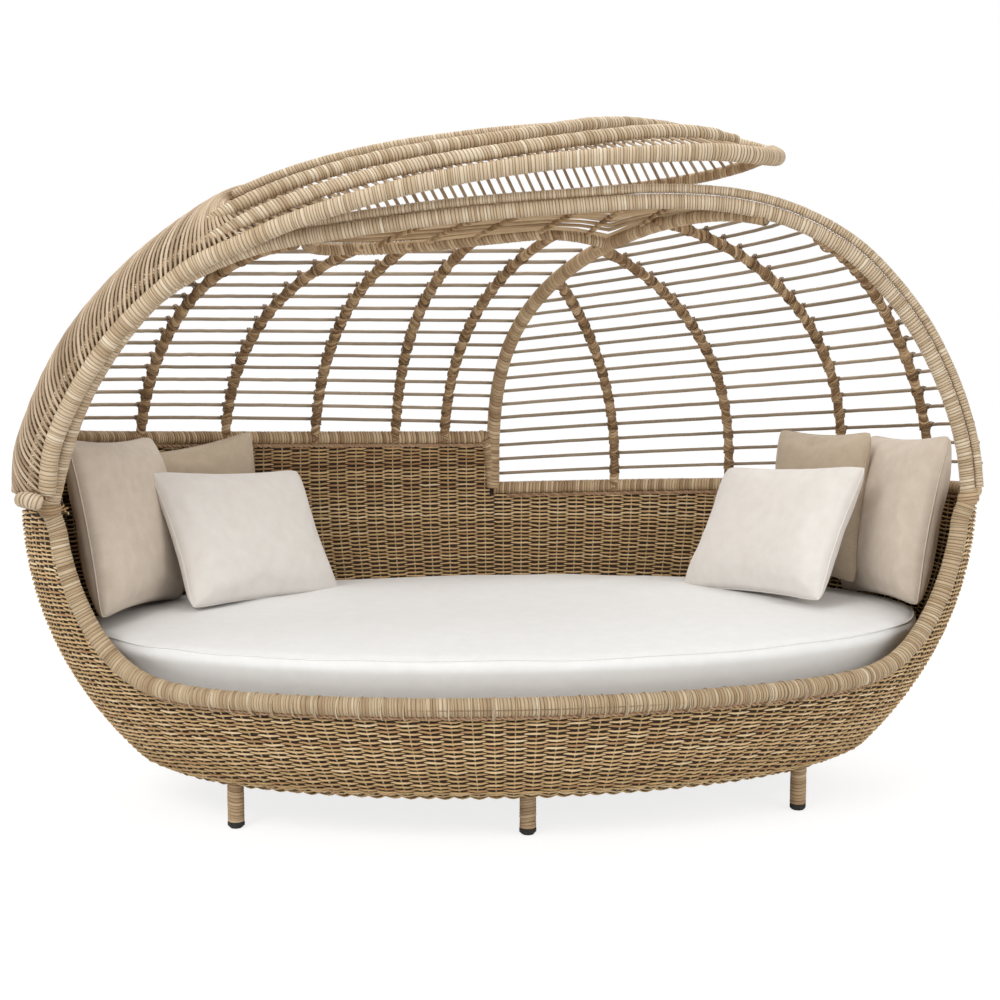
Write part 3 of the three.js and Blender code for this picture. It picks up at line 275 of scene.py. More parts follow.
def rail_height(turn):
    turn = np.asarray(turn, float)
    left = LEFT_RAIL[0] + LEFT_RAIL[1] * (np.maximum(0, SEAM_TURN - turn) / SEAM_TURN) ** LEFT_RAIL[2]
    share = np.maximum(0, turn - SEAM_TURN) / (1 - SEAM_TURN)
    right = RIGHT_RAIL[0] + RIGHT_RAIL[1] * share ** RIGHT_RAIL[2]
    return np.where(turn < SEAM_TURN, left, right)


def rim_height(share):
    from_collar = np.minimum(share, 1 - share) * FRONT_ANGLE
    return RIM_LOW + (WAIST - RIM_LOW) * np.exp(-from_collar / math.radians(RIM_BEND))


def rim_point(share):
    return bowl_point(1 + share, rim_height(share), WALL / 2)


def rib_turn(rib, lift):
    foot, head, reach, lean = rib
    return lerp(foot, head, (lift / reach) ** lean)


def rib_route(rib, from_height):
    foot, _, reach, _ = rib
    lifts = np.linspace(float(lift_at(np.array(foot), from_height)), reach, 60)
    points = dome_point(rib_turn(rib, lifts), lifts, -RIB_INSET)
    if from_height < WAIST:
        points = np.vstack([bowl_point(np.array(foot), from_height, RIB_INSET), points])
    return points


def ridge_lift(turn):
    xs, lifts = zip(*RIDGE_OUTLINE)
    return float(np.interp(turn, xs, lifts)) if xs[0] <= turn <= xs[-1] else 1.0


def seam_turn(height):
    turn = SEAM_TURN
    for _ in range(HALVINGS):
        turn = float(rib_turn(SEAM_RIB, lift_at(np.array(turn), height)))
    return turn


def crossing_turn(rib, height_at):
    turn = rib[0]
    for _ in range(HALVINGS):
        lift = min(rib[2], float(lift_at(np.array(turn), height_at(turn))))
        turn = lerp(turn, float(rib_turn(rib, lift)), 0.5)
    return turn


VISOR = [
    Curve([[x * ARCH_HALF, y * ARCH_FORWARD, WAIST + z * VISOR_RISE] for x, y, z in shares])
    for shares in (VISOR_FRONT, VISOR_TOP, VISOR_REAR)
]


def visor_point(along, across, outset=0.0):
    front, top_curve, rear = VISOR
    along, across = np.broadcast_arrays(np.asarray(along, float), np.asarray(across, float))
    top = top_curve.at(along)
    edge = np.where((across <= 1)[..., None], front.at(along), rear.at(along))
    swing = (1 - np.abs(1 - across)) * (math.pi / 2)
    rise, forward = np.sin(swing), 1 - np.cos(swing)
    tangent = top_curve.tangent(along)
    return np.stack([
        lerp(edge[..., 0], top[..., 0], rise) - tangent[..., 2] * outset * rise,
        lerp(edge[..., 1], top[..., 1], forward) - np.sign(1 - across) * outset * np.cos(swing),
        lerp(edge[..., 2], top[..., 2], rise) + tangent[..., 0] * outset * rise,
    ], -1)


# Meshes: a builder that collects strands and turns them into one object

# How sharply the painted shade in grooves and behind stakes falls off, and how strong it is behind a stake
PAINTED_SHADE_POWER, HIDDEN_SHADE = 3, 1.35
CANE_START = 9
LIP, LIP_DROP = 0.2, 0.5
TONE_STEP = 0.37


def linked(name, data):
    """A new object in the scene."""
    made = bpy.data.objects.new(name, data)
    bpy.context.scene.collection.objects.link(made)
    return made


class Strands:
    """Collects swept strands. Each vertex keeps where it is on its cane: along, across (on the weave, painted
    shade instead) and a tone.
    """

    def __init__(self):
        self.points, self.canes, self.quads, self.tris = [], [], [], []
        self.count = 0

    def add_rings(self, rings, along, across, tone, closed=False):
        """rings: steps x sides x 3 in millimetres; along per ring, across per side, in cane shares."""
        steps, sides, _ = rings.shape
        cane = np.zeros((steps, sides, 3))
        cane[..., 0] = along
        cane[..., 1] = across
        cane[..., 2] = tone
        index = self.count + np.arange(steps * sides).reshape(steps, sides)
        after = np.roll(index, -1, axis=1)
        if closed:
            low, low_next = index, after
            high, high_next = np.roll(index, -1, axis=0), np.roll(after, -1, axis=0)
        else:
            low, low_next, high, high_next = index[:-1], after[:-1], index[1:], after[1:]
        self.quads.append(np.stack([low, low_next, high_next, high], -1).reshape(-1, 4))
        self.points.append(rings.reshape(-1, 3))
        self.canes.append(cane.reshape(-1, 3))
        self.count += steps * sides
        if not closed:
            for ring, row, forward in ((rings[0], index[0], False), (rings[-1], index[-1], True)):
                middle = self.count
                self.points.append(ring.mean(0)[None])
                self.canes.append(cane[0, :1] * [1, 0, 1] + [0, 0.5, 0])
                self.count += 1
                pair = (row, np.roll(row, -1)) if forward else (np.roll(row, -1), row)
                self.tris.append(np.stack([*pair, np.full(sides, middle)], -1))

    def sweep(self, points, normals, half_out, half_side, sides, tone, closed=False, shift=0.0, depth=None):
        """A strand along points, its section an ellipse half_out along the normal, half_side across it.

        depth is how far each point lies to the normal's side of the weave: faces turned away behind it get
        painted shade.
        """
        if closed:
            along = unit(np.roll(points, -1, axis=0) - np.roll(points, 1, axis=0))
        else:
            along = unit(np.gradient(points, axis=0))
        normals = unit(normals - along * (normals * along).sum(-1, keepdims=True))
        side = np.cross(along, normals)
        angles = round_angles(sides) + math.pi / sides
        half_out = np.broadcast_to(half_out, len(points))[:, None, None]
        half_side = np.broadcast_to(half_side, len(points))[:, None, None]
        rings = points[:, None] + normals[:, None] * np.cos(angles)[:, None] * half_out \
            + side[:, None] * np.sin(angles)[:, None] * half_side
        across = np.arange(sides) / sides
        # Where depth is given, across carries painted shade instead of the place round the section.
        if depth is not None:
            behind_shade = np.clip(-HIDDEN_SHADE * np.asarray(depth)[:, None] * np.cos(angles), 0, 1)
            across = 0.5 + 0.5 * behind_shade ** (1 / PAINTED_SHADE_POWER)
        self.add_rings(rings, (path_runs(points) * MM + shift)[:, None], across, tone, closed)

    def lay(self, random, points, normals, half_out, half_side, sides, tones):
        """A strand with a random tone between two, starting at a random place of its cane."""
        tone = random.uniform(*tones)
        self.sweep(points, normals, half_out, half_side, sides, tone, shift=random.uniform(0, CANE_START))

    def loop(self, random, centre, first, second, half_out, half_side, tone, sides):
        """A binding round a centre. first and second are the half axes of its ring."""
        angles = round_angles(sides)[:, None]
        ring = centre + first * np.cos(angles) + second * np.sin(angles)
        shift = random.uniform(0, CANE_START)
        self.sweep(ring, ring - ring.mean(0), half_out, half_side, 5, tone, True, shift)

    def to_object(self, name, material):
        mesh = bpy.data.meshes.new(name)
        points = (np.vstack(self.points) * MM + MIDDLE).astype(np.float32)
        quads = np.vstack(self.quads) if self.quads else np.zeros((0, 4), int)
        tris = np.vstack(self.tris) if self.tris else np.zeros((0, 3), int)
        corners = np.concatenate([quads.ravel(), tris.ravel()]).astype(np.int32)
        starts = np.concatenate([np.arange(len(quads)) * 4, len(quads) * 4 + np.arange(len(tris)) * 3])
        mesh.vertices.add(len(points))
        mesh.vertices.foreach_set("co", points.ravel())
        mesh.loops.add(len(corners))
        mesh.loops.foreach_set("vertex_index", corners)
        mesh.polygons.add(len(starts))
        mesh.polygons.foreach_set("loop_start", starts.astype(np.int32))
        mesh.update(calc_edges=True)
        mesh.shade_smooth()
        cane = mesh.attributes.new("cane", "FLOAT_VECTOR", "POINT")
        cane.data.foreach_set("vector", np.vstack(self.canes).astype(np.float32).ravel())
        mesh.materials.append(material)
        return linked(name, mesh)


def carried_normals(points):
    """Normals carried along a route without twist."""
    along = unit(np.gradient(points, axis=0))
    steep = abs(along[0][2]) > 0.7
    normal = np.array([1.0, 0, 0]) if steep else np.array([0, 0, 1.0])
    normals = np.zeros_like(points)
    for i, tangent in enumerate(along):
        normal = unit(normal - tangent * (normal @ tangent))
        normals[i] = normal
    return normals


class Wrapped:
    """Route of a wrapped tube, with normals carried along it."""

    def __init__(self, points, diameter):
        self.curve = Curve(points, 4)
        self.radius = diameter / 2
        self.coarse = np.linspace(0, 1, max(12, int(self.curve.length / 12)))
        self.normals = carried_normals(self.curve.at(self.coarse))

    def frames(self, share):
        along = self.curve.tangent(share)
        normals = np.stack([np.interp(share, self.coarse, axis) for axis in self.normals.T], -1)
        normals = unit(normals - along * (normals * along).sum(-1, keepdims=True))
        return self.curve.at(share), along, normals


def wrap(strands, tube, random, pitch, ridge, sides=12, tilt=0.3, spread=0.35, tone_spread=0.5, bulges=(),
         round_ends=False):
    """Turns of flat cane round a tube. bulges lists (run, height, reach) in millimetres."""
    length = tube.curve.length
    widths = pitch * (1 + spread * random.uniform(-1, 1, int(length / pitch * 1.6) + 4))
    edges = np.concatenate([[0], np.cumsum(widths)])
    edges = edges[:np.searchsorted(edges, length) + 1]
    edges *= length / edges[-1]
    turns = len(edges) - 1
    width = np.diff(edges)
    heights = ridge * random.uniform(0.6, 1.25, turns)
    tones = np.clip(0.5 + tone_spread * random.normal(0, 0.5, turns), 0, 1)
    across = np.array([0.0, LIP, 1 - LIP])
    runs = np.append((edges[:-1, None] + width[:, None] * across).ravel(), length)
    lifts = (heights[:, None] * np.array([-1.0, 0.0, 0.0]) + (heights[:, None] - ridge) * LIP_DROP).ravel()
    lifts = np.append(lifts, -ridge)
    for run, size, reach in bulges:
        lifts = lifts + size * np.exp(-((runs - run) / reach) ** 2)
    points, along, normals = tube.frames(runs / length)
    side = np.cross(along, normals)
    angles = round_angles(sides)
    from_end = np.minimum(runs, length - runs)
    fade = np.clip(from_end / (2 * pitch), 0, 1)[:, None]
    lean = tilt * pitch * np.sin(angles + random.uniform(0, 6)) * fade
    radius = tube.radius + lifts
    if round_ends:
        radius = radius * np.sqrt(np.clip(1 - (1 - from_end / (0.8 * tube.radius)).clip(0, 1) ** 2, 0.04, 1))
    round_tube = normals[:, None] * np.cos(angles)[:, None] + side[:, None] * np.sin(angles)[:, None]
    rings = points[:, None] + round_tube * radius[:, None, None] + along[:, None] * lean[..., None]
    turn_index = np.append(np.repeat(np.arange(turns), 3), turns - 1)
    # across runs from 0 to 1 over each turn; the material paints shade at both ends, in the grooves between
    # turns.
    across_all = np.append(np.tile(across, turns), 1.0)
    around = angles * tube.radius * MM
    strands.add_rings(rings, around[None] + turn_index[:, None] * TONE_STEP, across_all[:, None],
                      tones[turn_index][:, None])


def spaced(points, count=90):
    return Curve(points, 4).at(np.linspace(0, 1, count))


# Materials

class Shading:
    """A node tree that is filled in by short calls."""

    def __init__(self, tree):
        self.tree = tree

    def fill(self, node, inputs):
        for key, value in inputs.items():
            if isinstance(value, bpy.types.NodeSocket):
                self.tree.links.new(value, node.inputs[key])
            else:
                node.inputs[key].default_value = value

    def node(self, kind, inputs=None, **settings):
        made = self.tree.nodes.new("ShaderNode" + kind)
        for key, value in settings.items():
            setattr(made, key, value)
        self.fill(made, inputs or {})
        return made.outputs

    def math(self, operation, *values, clamp=False):
        return self.node("Math", dict(enumerate(values)), operation=operation, use_clamp=clamp)[0]

    def total(self, *parts):
        """Sum of values, each times its weight."""
        terms = [self.math("MULTIPLY", value, weight) for value, weight in parts]
        for i in range(1, len(terms)):
            terms[i] = self.math("ADD", terms[i - 1], terms[i])
        return terms[-1]

    def noise(self, place, scale, detail):
        return self.node("TexNoise", {"Vector": place, "Scale": scale, "Detail": detail})["Fac"]

    def grain(self, stretch, scale, detail):
        place = self.node("TexCoord")["Object"]
        return self.noise(self.node("Mapping", {"Vector": place, "Scale": stretch})[0], scale, detail)

    def ramp(self, value, stops):
        made = self.node("ValToRGB", {0: value})[0]
        elements = made.node.color_ramp.elements
        while len(elements) > 1:
            elements.remove(elements[-1])
        elements[0].position = stops[0][0]
        elements[0].color = (*stops[0][1], 1)
        for place, color in stops[1:]:
            elements.new(place).color = (*color, 1)
        return made

    def surface(self, color, grain, roughness, relief, others):
        """Gives the shader its colour, and a gloss and a relief (strength, metres) that follow the grain."""
        rough = self.node("MapRange", {0: grain, 3: roughness[0], 4: roughness[1]})[0]
        normal = self.node("Bump", {"Strength": relief[0], "Distance": relief[1], "Height": grain})[0]
        shader = self.tree.nodes["Principled BSDF"]
        self.fill(shader, {"Base Color": color, "Roughness": rough, "Normal": normal, **others})


def new_material(name):
    material = bpy.data.materials.new(name)
    material.use_nodes = True
    return material, Shading(material.node_tree)


def cane_material(name, stops, painted_shade=0.0, roughness=(0.5, 0.72), streak=1.0):
    """Cane: tone from strand to strand, streaks of fibre along it, painted shade in its edge grooves and
    behind stakes.
    """
    material, shading = new_material(name)
    cane = shading.node("SeparateXYZ", {0: shading.node("Attribute", attribute_name="cane")["Vector"]})
    _, across, tone = cane

    def noise(scales, detail):
        parts = [shading.math("MULTIPLY", part, scale) for part, scale in zip(cane, scales)]
        return shading.noise(shading.node("CombineXYZ", dict(enumerate(parts)))[0], 1, detail)

    fibre, patch = noise((60, 5, 61), 3), noise((9, 0.6, 37), 2)
    mixed = shading.total((tone, 0.62), (patch, 0.75), (fibre, 0.3 * streak))
    color = shading.ramp(shading.math("SUBTRACT", mixed, 0.33, clamp=True), stops)
    # Painted shade: the colour darkens towards across 0 and 1, which are the grooves between wrap turns and
    # the faces of woven rows turned away behind a stake.
    edge = shading.math("ABSOLUTE", shading.math("SUBTRACT", shading.math("MULTIPLY", across, 2), 1))
    edge = shading.math("MULTIPLY", shading.math("POWER", edge, PAINTED_SHADE_POWER), painted_shade)
    shade = shading.math("SUBTRACT", 1, edge)
    dark = shading.node("Mix", {0: 1, 6: color, 7: shade}, data_type="RGBA", blend_type="MULTIPLY")[2]
    shading.surface(dark, fibre, roughness, (0.25, 0.0006), {"Specular IOR Level": 0.32})
    return material


def cloth_material(name, light, dark, melange=0.5):
    """Linen-like cloth: crossed threads with slubs, soft mottling and a little sheen."""
    material, shading = new_material(name)
    weave, slub = 900, 54
    threads = shading.total((shading.grain((weave, slub, weave / 2), 1, 2), 0.5),
                            (shading.grain((slub, weave / 2, weave), 1, 2), 0.5))
    mottle = shading.grain((1, 1, 1), 34, 5)
    mixed = shading.total((threads, melange), (mottle, 1 - melange))
    color = shading.ramp(shading.node("MapRange", {0: mixed, 1: 0.32, 2: 0.68})[0], [(0, dark), (1, light)])
    shading.surface(color, threads, (0.8, 0.96), (0.35, 0.0005),
                    {"Sheen Weight": 0.25, "Sheen Roughness": 0.5, "Specular IOR Level": 0.2})
    return material


def grained_material(name, light, dark, scale, roughness, metallic=0.0, stretch=(1, 1, 1)):
    """Plain material with a fine grain in its colour, gloss and surface."""
    material, shading = new_material(name)
    grain = shading.grain(stretch, scale, 4)
    color = shading.ramp(grain, [(0.3, dark), (0.7, light)])
    shading.surface(color, grain, roughness, (0.15, 0.0004), {"Metallic": metallic})
    return material


# Where a cane below is given a shade strength, it paints shade into the grooves between its turns; for the
# weave, where rows pass behind stakes.
LIGHT_CANE = cane_material("cane_wrap_light", [
    (0.0, (0.33, 0.225, 0.13)), (0.35, (0.51, 0.38, 0.24)), (0.65, (0.62, 0.485, 0.335)),
    (1.0, (0.77, 0.655, 0.49)),
], painted_shade=0.92, streak=1.4)
TAN_CANE = cane_material("cane_wrap_tan", [
    (0.0, (0.235, 0.14, 0.07)), (0.4, (0.43, 0.288, 0.163)), (0.7, (0.565, 0.408, 0.245)),
    (1.0, (0.71, 0.555, 0.365)),
], painted_shade=0.92, streak=1.3)
RIB_CANE = cane_material("cane_wrap_ribs", [
    (0.0, (0.09, 0.045, 0.018)), (0.3, (0.22, 0.125, 0.055)), (0.55, (0.365, 0.228, 0.115)),
    (0.8, (0.51, 0.345, 0.19)), (1.0, (0.63, 0.465, 0.29)),
], painted_shade=0.85, streak=1.6)
RIM_CANE = cane_material("cane_wrap_rim", [
    (0.0, (0.19, 0.113, 0.056)), (0.35, (0.395, 0.275, 0.158)), (0.7, (0.535, 0.405, 0.255)),
    (1.0, (0.72, 0.61, 0.45)),
], painted_shade=0.85, streak=1.4)
ROD_CANE = cane_material("cane_rods", [
    (0.0, (0.19, 0.142, 0.096)), (0.5, (0.33, 0.258, 0.183)), (1.0, (0.48, 0.39, 0.285)),
], roughness=(0.42, 0.62))
VISOR_CANE = cane_material("cane_visor", [
    (0.0, (0.27, 0.18, 0.11)), (0.5, (0.45, 0.335, 0.22)), (1.0, (0.66, 0.535, 0.39)),
])
ROOF_CANE = cane_material("cane_roof", [
    (0.0, (0.2, 0.12, 0.058)), (0.5, (0.5, 0.36, 0.21)), (1.0, (0.74, 0.58, 0.38)),
])
WEAVE_CANE = cane_material("cane_weave", [
    (0.0, (0.3, 0.148, 0.06)), (0.25, (0.45, 0.262, 0.125)), (0.45, (0.53, 0.365, 0.175)),
    (0.62, (0.62, 0.41, 0.205)), (0.82, (0.73, 0.53, 0.295)), (1.0, (0.82, 0.65, 0.41)),
], painted_shade=0.86, streak=1.3)
TWIST_CANE = cane_material("cane_twist", [
    (0.0, (0.24, 0.13, 0.065)), (0.5, (0.43, 0.275, 0.165)), (1.0, (0.61, 0.435, 0.28)),
])
STAKE_CANE = cane_material("cane_stakes", [
    (0.0, (0.48, 0.34, 0.18)), (1.0, (0.76, 0.62, 0.41)),
])
# A near-black sheet inside the weave wall: painted shade between the strands.
SHADE_SHEET = grained_material("weave_shade_sheet", (0.05, 0.028, 0.014), (0.026, 0.014, 0.007), 300, (0.85, 0.95))
SEAT_CLOTH = cloth_material("seat_cloth", (0.835, 0.84, 0.838), (0.78, 0.78, 0.778))
CREAM_CLOTH = cloth_material("cream_cloth", (0.82, 0.785, 0.75), (0.74, 0.7, 0.66))
BEIGE_CLOTH = cloth_material("beige_cloth", (0.71, 0.615, 0.52), (0.59, 0.497, 0.405))
TAUPE_CLOTH = cloth_material("taupe_cloth", (0.61, 0.505, 0.385), (0.45, 0.365, 0.265), melange=0.7)
RUBBER = grained_material("glide_rubber", (0.02, 0.02, 0.02), (0.01, 0.01, 0.01), 400, (0.45, 0.65))
METAL = grained_material("frame_metal", (0.55, 0.55, 0.54), (0.42, 0.42, 0.41), 120, (0.3, 0.5), 0.9)
BOARD = grained_material("deck_board", (0.5, 0.36, 0.2), (0.33, 0.22, 0.11), 30, (0.5, 0.75), 0.0, (1, 9, 9))


def finish_piece(piece, node):
    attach(piece, ROOT_BODY)
    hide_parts(node)


def wrapped_piece(name, slot, material, points, diameter, seed, **settings):
    strands = Strands()
    wrap(strands, Wrapped(points, diameter), np.random.default_rng(seed), **settings)
    finish_piece(strands.to_object(name + "_wrap", material), name)


# Main tubes

def rail_route(low, high):
    turns = np.linspace(low, high, 90)
    return wall_point(turns, rail_height(turns), WALL / 2)


def rail_end(turn_from, turn_to):
    low, high = turn_from, turn_to
    for _ in range(HALVINGS):
        middle = (low + high) / 2
        if arch_point(np.array(middle))[2] < rail_height(middle):
            low = middle
        else:
            high = middle
    return high


def collar(name, share, seed):
    centre = ARCH.at(share)
    half = np.array([0, 0, COLLAR_HEIGHT / 2])
    wrapped_piece(name, "tan_wrap", TAN_CANE, np.linspace(centre - half, centre + half, 8),
                  COLLAR_DIAMETER, seed, pitch=7.5, ridge=1.6, tilt=0.5, sides=20, round_ends=True)


LEFT_RAIL_END = rail_end(0, LEDGE_TURN) + 0.0035
RIGHT_RAIL_END = rail_end(1, 1 - LEDGE_TURN) - 0.0035
STAKES, POINTS_PER_STAKE = 110, 4
STAKE_HALF_OUT, STAKE_HALF_SIDE = 3.0, 1.5
ROW_PITCH, ROW_HALF, ROW_HALF_OUT, ROW_WAVE = 4.9, 2.3, 1.8, 0.31
BORDER_RADIUS, BORDER_TWIST, BORDER_DEPTHS = 4.6, 26, (0.16, 0.84)
BORDERS = (
    (LEFT_RAIL_END + 0.045, SEAM_TURN - 0.004, 3.5), (SEAM_TURN + 0.008, RIGHT_RAIL_END - 0.004, 3.5),
    (1.06, 1.94, 2.0),
)
SHADE_SHEET_DEPTHS = (0.47, 0.53)
UNDER_EDGE = 4 - BASE_RETURN + BASE_ROUND


def stake_turns():
    """Turns of the stakes, spaced evenly round the waist."""
    dense = np.linspace(0, 2, 4001)
    runs = path_runs(bowl_point(dense, WAIST, WALL / 2))
    return np.interp(np.arange(STAKES) / STAKES * runs[-1], runs, dense)


STAKE_TURNS = stake_turns()


def turn_at(stake):
    """Turn at a place counted in stakes, also between stakes."""
    return np.interp(np.asarray(stake) % STAKES, np.arange(STAKES + 1), np.append(STAKE_TURNS, 2.0))


def rim_loops(strands, random, turns, centres, along, radius, drop):
    """Pale bindings that go round the rim and down over the weave's top row."""
    for centre, tangent, turn in zip(centres, along, turns):
        outward = unit(bowl_point(turn, WAIST) - bowl_point(turn, WAIST, 50))
        down = unit(np.cross(tangent, outward))
        down = down * -np.sign(down[2])
        for shift in (-1.7, 1.7) if random.uniform() < 0.4 else (0.0,):
            strands.loop(random, centre + tangent * shift + down * drop / 2, outward * (radius + 1.4),
                         down * (radius + 1.2 + drop / 2), 0.8, 1.7, random.uniform(0.6, 1), 18)


def add_rim_bindings():
    """Bindings round the front rim over each stake, and a dark seam along its outside."""
    front = np.array([turn for turn in STAKE_TURNS if 1.12 < turn < 1.88])
    along = unit(rim_point(front - 1 + TANGENT_STEP) - rim_point(front - 1 - TANGENT_STEP))
    loops = Strands()
    rim_loops(loops, np.random.default_rng(9), front, rim_point(front - 1), along, RIM_DIAMETER / 2, 6)
    share = np.linspace(0.03, 0.97, 400)
    outward = np.column_stack([unit(bowl_point(1 + share, WAIST)[:, :2]), np.full(len(share), -0.12)])
    seam = rim_point(share) + unit(outward) * (RIM_DIAMETER / 2 + 0.1)
    loops.sweep(seam, outward, 0.7, 1.1, 5, 0.0)
    finish_piece(loops.to_object("front_rim_bindings", RIM_CANE), "front_rim")


def add_main_tubes():
    share = np.linspace(0, 1, 160)
    wrapped_piece("front_arch", "light_wrap", LIGHT_CANE, arch_point(share), ARCH_DIAMETER, 1, pitch=6.6,
                  ridge=1.8, sides=16)
    start = (COLLAR_HEIGHT / 2 + 0.3) / ARCH.length
    outset = (ARCH_DIAMETER + BEAD_DIAMETER) / 2 + 0.3
    wrapped_piece("arch_bead", "light_wrap", LIGHT_CANE, arch_point(lerp(start, 1 - start, share), outset),
                  BEAD_DIAMETER, 2, pitch=6.2, ridge=1.6)
    dense = rim_point(1 - np.linspace(0, 1, 241))[1:-1]
    rim = spaced(np.vstack([arch_point(np.array([0.0])), dense, arch_point(np.array([1.0]))]), 200)
    wrapped_piece("front_rim", "light_wrap", RIM_CANE, rim, RIM_DIAMETER, 3, pitch=6.4, ridge=1.8,
                  sides=18, tilt=0.18, spread=0.5, tone_spread=0.42)
    add_rim_bindings()
    wrapped_piece("left_rail", "tan_wrap", TAN_CANE, rail_route(LEFT_RAIL_END, SEAM_TURN), RAIL_DIAMETER, 4,
                  pitch=6.8, ridge=1.9, tone_spread=0.9)
    wrapped_piece("right_rail", "tan_wrap", TAN_CANE, rail_route(SEAM_TURN + 1e-4, RIGHT_RAIL_END),
                  RAIL_DIAMETER, 5, pitch=6.8, ridge=1.9, tone_spread=0.9)
    wrapped_piece("seam_rib", "rib_wrap", TAN_CANE, rib_route(SEAM_RIB, RIGHT_RAIL[0]), SEAM_DIAMETER, 6,
                  pitch=9.5, ridge=1.9, tilt=0.5)
    collar("collar_left", 0.0, 7)
    collar("collar_right", 1.0, 8)


# Canopy

def knot(strands, centre, along, outward, radius, reach, random):
    """Crossed lashings round a rib, and a small one that ties it to the rod behind it."""
    along, outward = unit(along), unit(outward)
    outward = unit(outward - along * (outward @ along))
    side = np.cross(along, outward)
    tone = random.uniform(0.1, 0.75)
    for sign in (-1, 1):
        for slide in (-3.2, 1.6):
            grown = radius + random.uniform(0.2, 1.4)
            strands.loop(random, centre + along * slide, side * grown + along * (sign * 0.55 * radius),
                         outward * grown, 1.1, 2.3, tone + random.uniform(-0.3, 0.3), 14)
    tie = centre + outward * (reach / 2 + 1)
    for slide in (-2.4, 2.4):
        strands.loop(random, tie + side * slide, along * 6, outward * (reach / 2 + 5), 1.0, 1.9, tone, 14)


def rod_rise(index, count, pitch, top_pitch):
    """Height of a rod over the rail: the rods lie closer together where the dome leans over."""
    place = index + 0.5
    return pitch * place - (pitch - top_pitch) * place ** 2 / (2 * count)


def screen_rods():
    """(rods, crossings) of each screen: a rod is a route, a crossing is a rib with a height profile."""
    rods = {"left_rods": [], "right_rods": []}
    crossings = {"left_rods": [], "right_rods": []}
    for side, name, ribs, rail, spacing in (
            (-1, "left_rods", LEFT_RIBS, LEFT_RAIL[0], (LEFT_ROD_COUNT, LEFT_ROD_PITCH, LEFT_ROD_TOP_PITCH)),
            (1, "right_rods", RIGHT_RIBS, RIGHT_RAIL[0],
             (RIGHT_ROD_COUNT, RIGHT_ROD_PITCH, RIGHT_ROD_TOP_PITCH))):
        for i in range(spacing[0]):
            height = rail + RAIL_DIAMETER / 2 + rod_rise(i, *spacing)
            if side < 0:
                climb = LEFT_ROD_CLIMB * ((LEFT_ROD_LEVEL - height) / (LEFT_ROD_LEVEL - LEFT_RAIL[0]))
            else:
                climb = RIGHT_ROD_CLIMB + RIGHT_ROD_CLIMB_SHARE * (height - RIGHT_RAIL[0])
            start = seam_turn(height)

            def height_at(turn):
                return height + climb * abs(turn - start)

            turns = np.linspace(start, 0 if side < 0 else 1, ROD_STEPS + 1)
            limits = np.array([ridge_lift(turn) - ROD_RIDGE_GAP if side < 0 else 1.0 for turn in turns])
            met = np.nonzero(lift_at(turns, height_at(turns)) >= limits)[0]
            last = met[0] if len(met) else ROD_STEPS
            first = np.searchsorted(np.abs(turns - start), 0.002)
            kept = np.linspace(turns[first], turns[last], max(6, int((last - first) / 7)))
            levels = height_at(kept)
            low = bowl_point(kept, levels, -ROD_OUTSET)
            high = dome_point(kept, lift_at(kept, levels), ROD_OUTSET)
            rods[name].append(np.where((levels < WAIST)[:, None], low, high))
            for rib in ribs:
                turn = crossing_turn(rib, height_at)
                if min(start, turns[last]) + 0.001 < turn < max(start, turns[last]) + 0.004:
                    level = height_at(turn)
                    lift = float(lift_at(np.array(turn), level))
                    if lift <= rib[2] + 0.002:
                        crossings[name].append((rib, turn, level))
    return rods, crossings


def crossing_frame(rib, turn, level):
    """(inner, outer, ahead) where a rod crosses a rib: on the rib, on the rod, and further up the rib."""
    lift, turn = float(lift_at(np.array(turn), level)), np.array(turn)
    if level < WAIST:
        inner = bowl_point(turn, level, RIB_INSET)
        return inner, bowl_point(turn, level, -ROD_OUTSET), bowl_point(turn, level + 6, RIB_INSET)
    inner = dome_point(turn, lift, -RIB_INSET)
    above, below = min(rib[2], lift + 0.01), max(lift - 0.01, 0)
    ahead = inner + dome_point(np.array(rib_turn(rib, above)), above, -RIB_INSET) \
        - dome_point(np.array(rib_turn(rib, below)), below, -RIB_INSET)
    return inner, dome_point(turn, lift, ROD_OUTSET), ahead


def add_canopy():
    random = np.random.default_rng(21)
    rods, crossings = screen_rods()
    for name, routes in rods.items():
        strands = Strands()
        for route in routes:
            wobble = random.normal(0, 0.2, route.shape)
            wobble[0] = wobble[-1] = 0
            half = ROD_DIAMETER / 2 * random.uniform(1.02, 1.14)
            strands.lay(random, route + wobble, route - SCREEN_MIDDLE, half, half, 8, (0.2, 0.9))
        knots = Strands()
        for rib, turn, level in crossings[name]:
            inner, outer, ahead = crossing_frame(rib, turn, level)
            out = outer - inner
            knot(knots, inner, ahead - inner, out, RIB_DIAMETER / 2 + 0.6, np.linalg.norm(out), random)
        finish_piece(strands.to_object(name + "_canes", ROD_CANE), name)
        finish_piece(knots.to_object(name + "_lashings", RIB_CANE), name)
    add_roof(random)
    for side, ribs, seed in (("left", LEFT_RIBS, 31), ("right", RIGHT_RIBS, 41)):
        for i, rib in enumerate(ribs):
            rib_piece(f"{side}_rib_{i + 1}", rib, float(rail_height(rib[0])), seed + i)
    route = np.array([dome_point(np.array(t), l, -WALL / 2) for t, l in RIDGE_OUTLINE])
    wrapped_piece("ridge_beam", "rib_wrap", TAN_CANE, route, RIDGE_WRAP, 50, pitch=8.5, ridge=2.2,
                  tilt=0.8, tone_spread=0.9, round_ends=True)


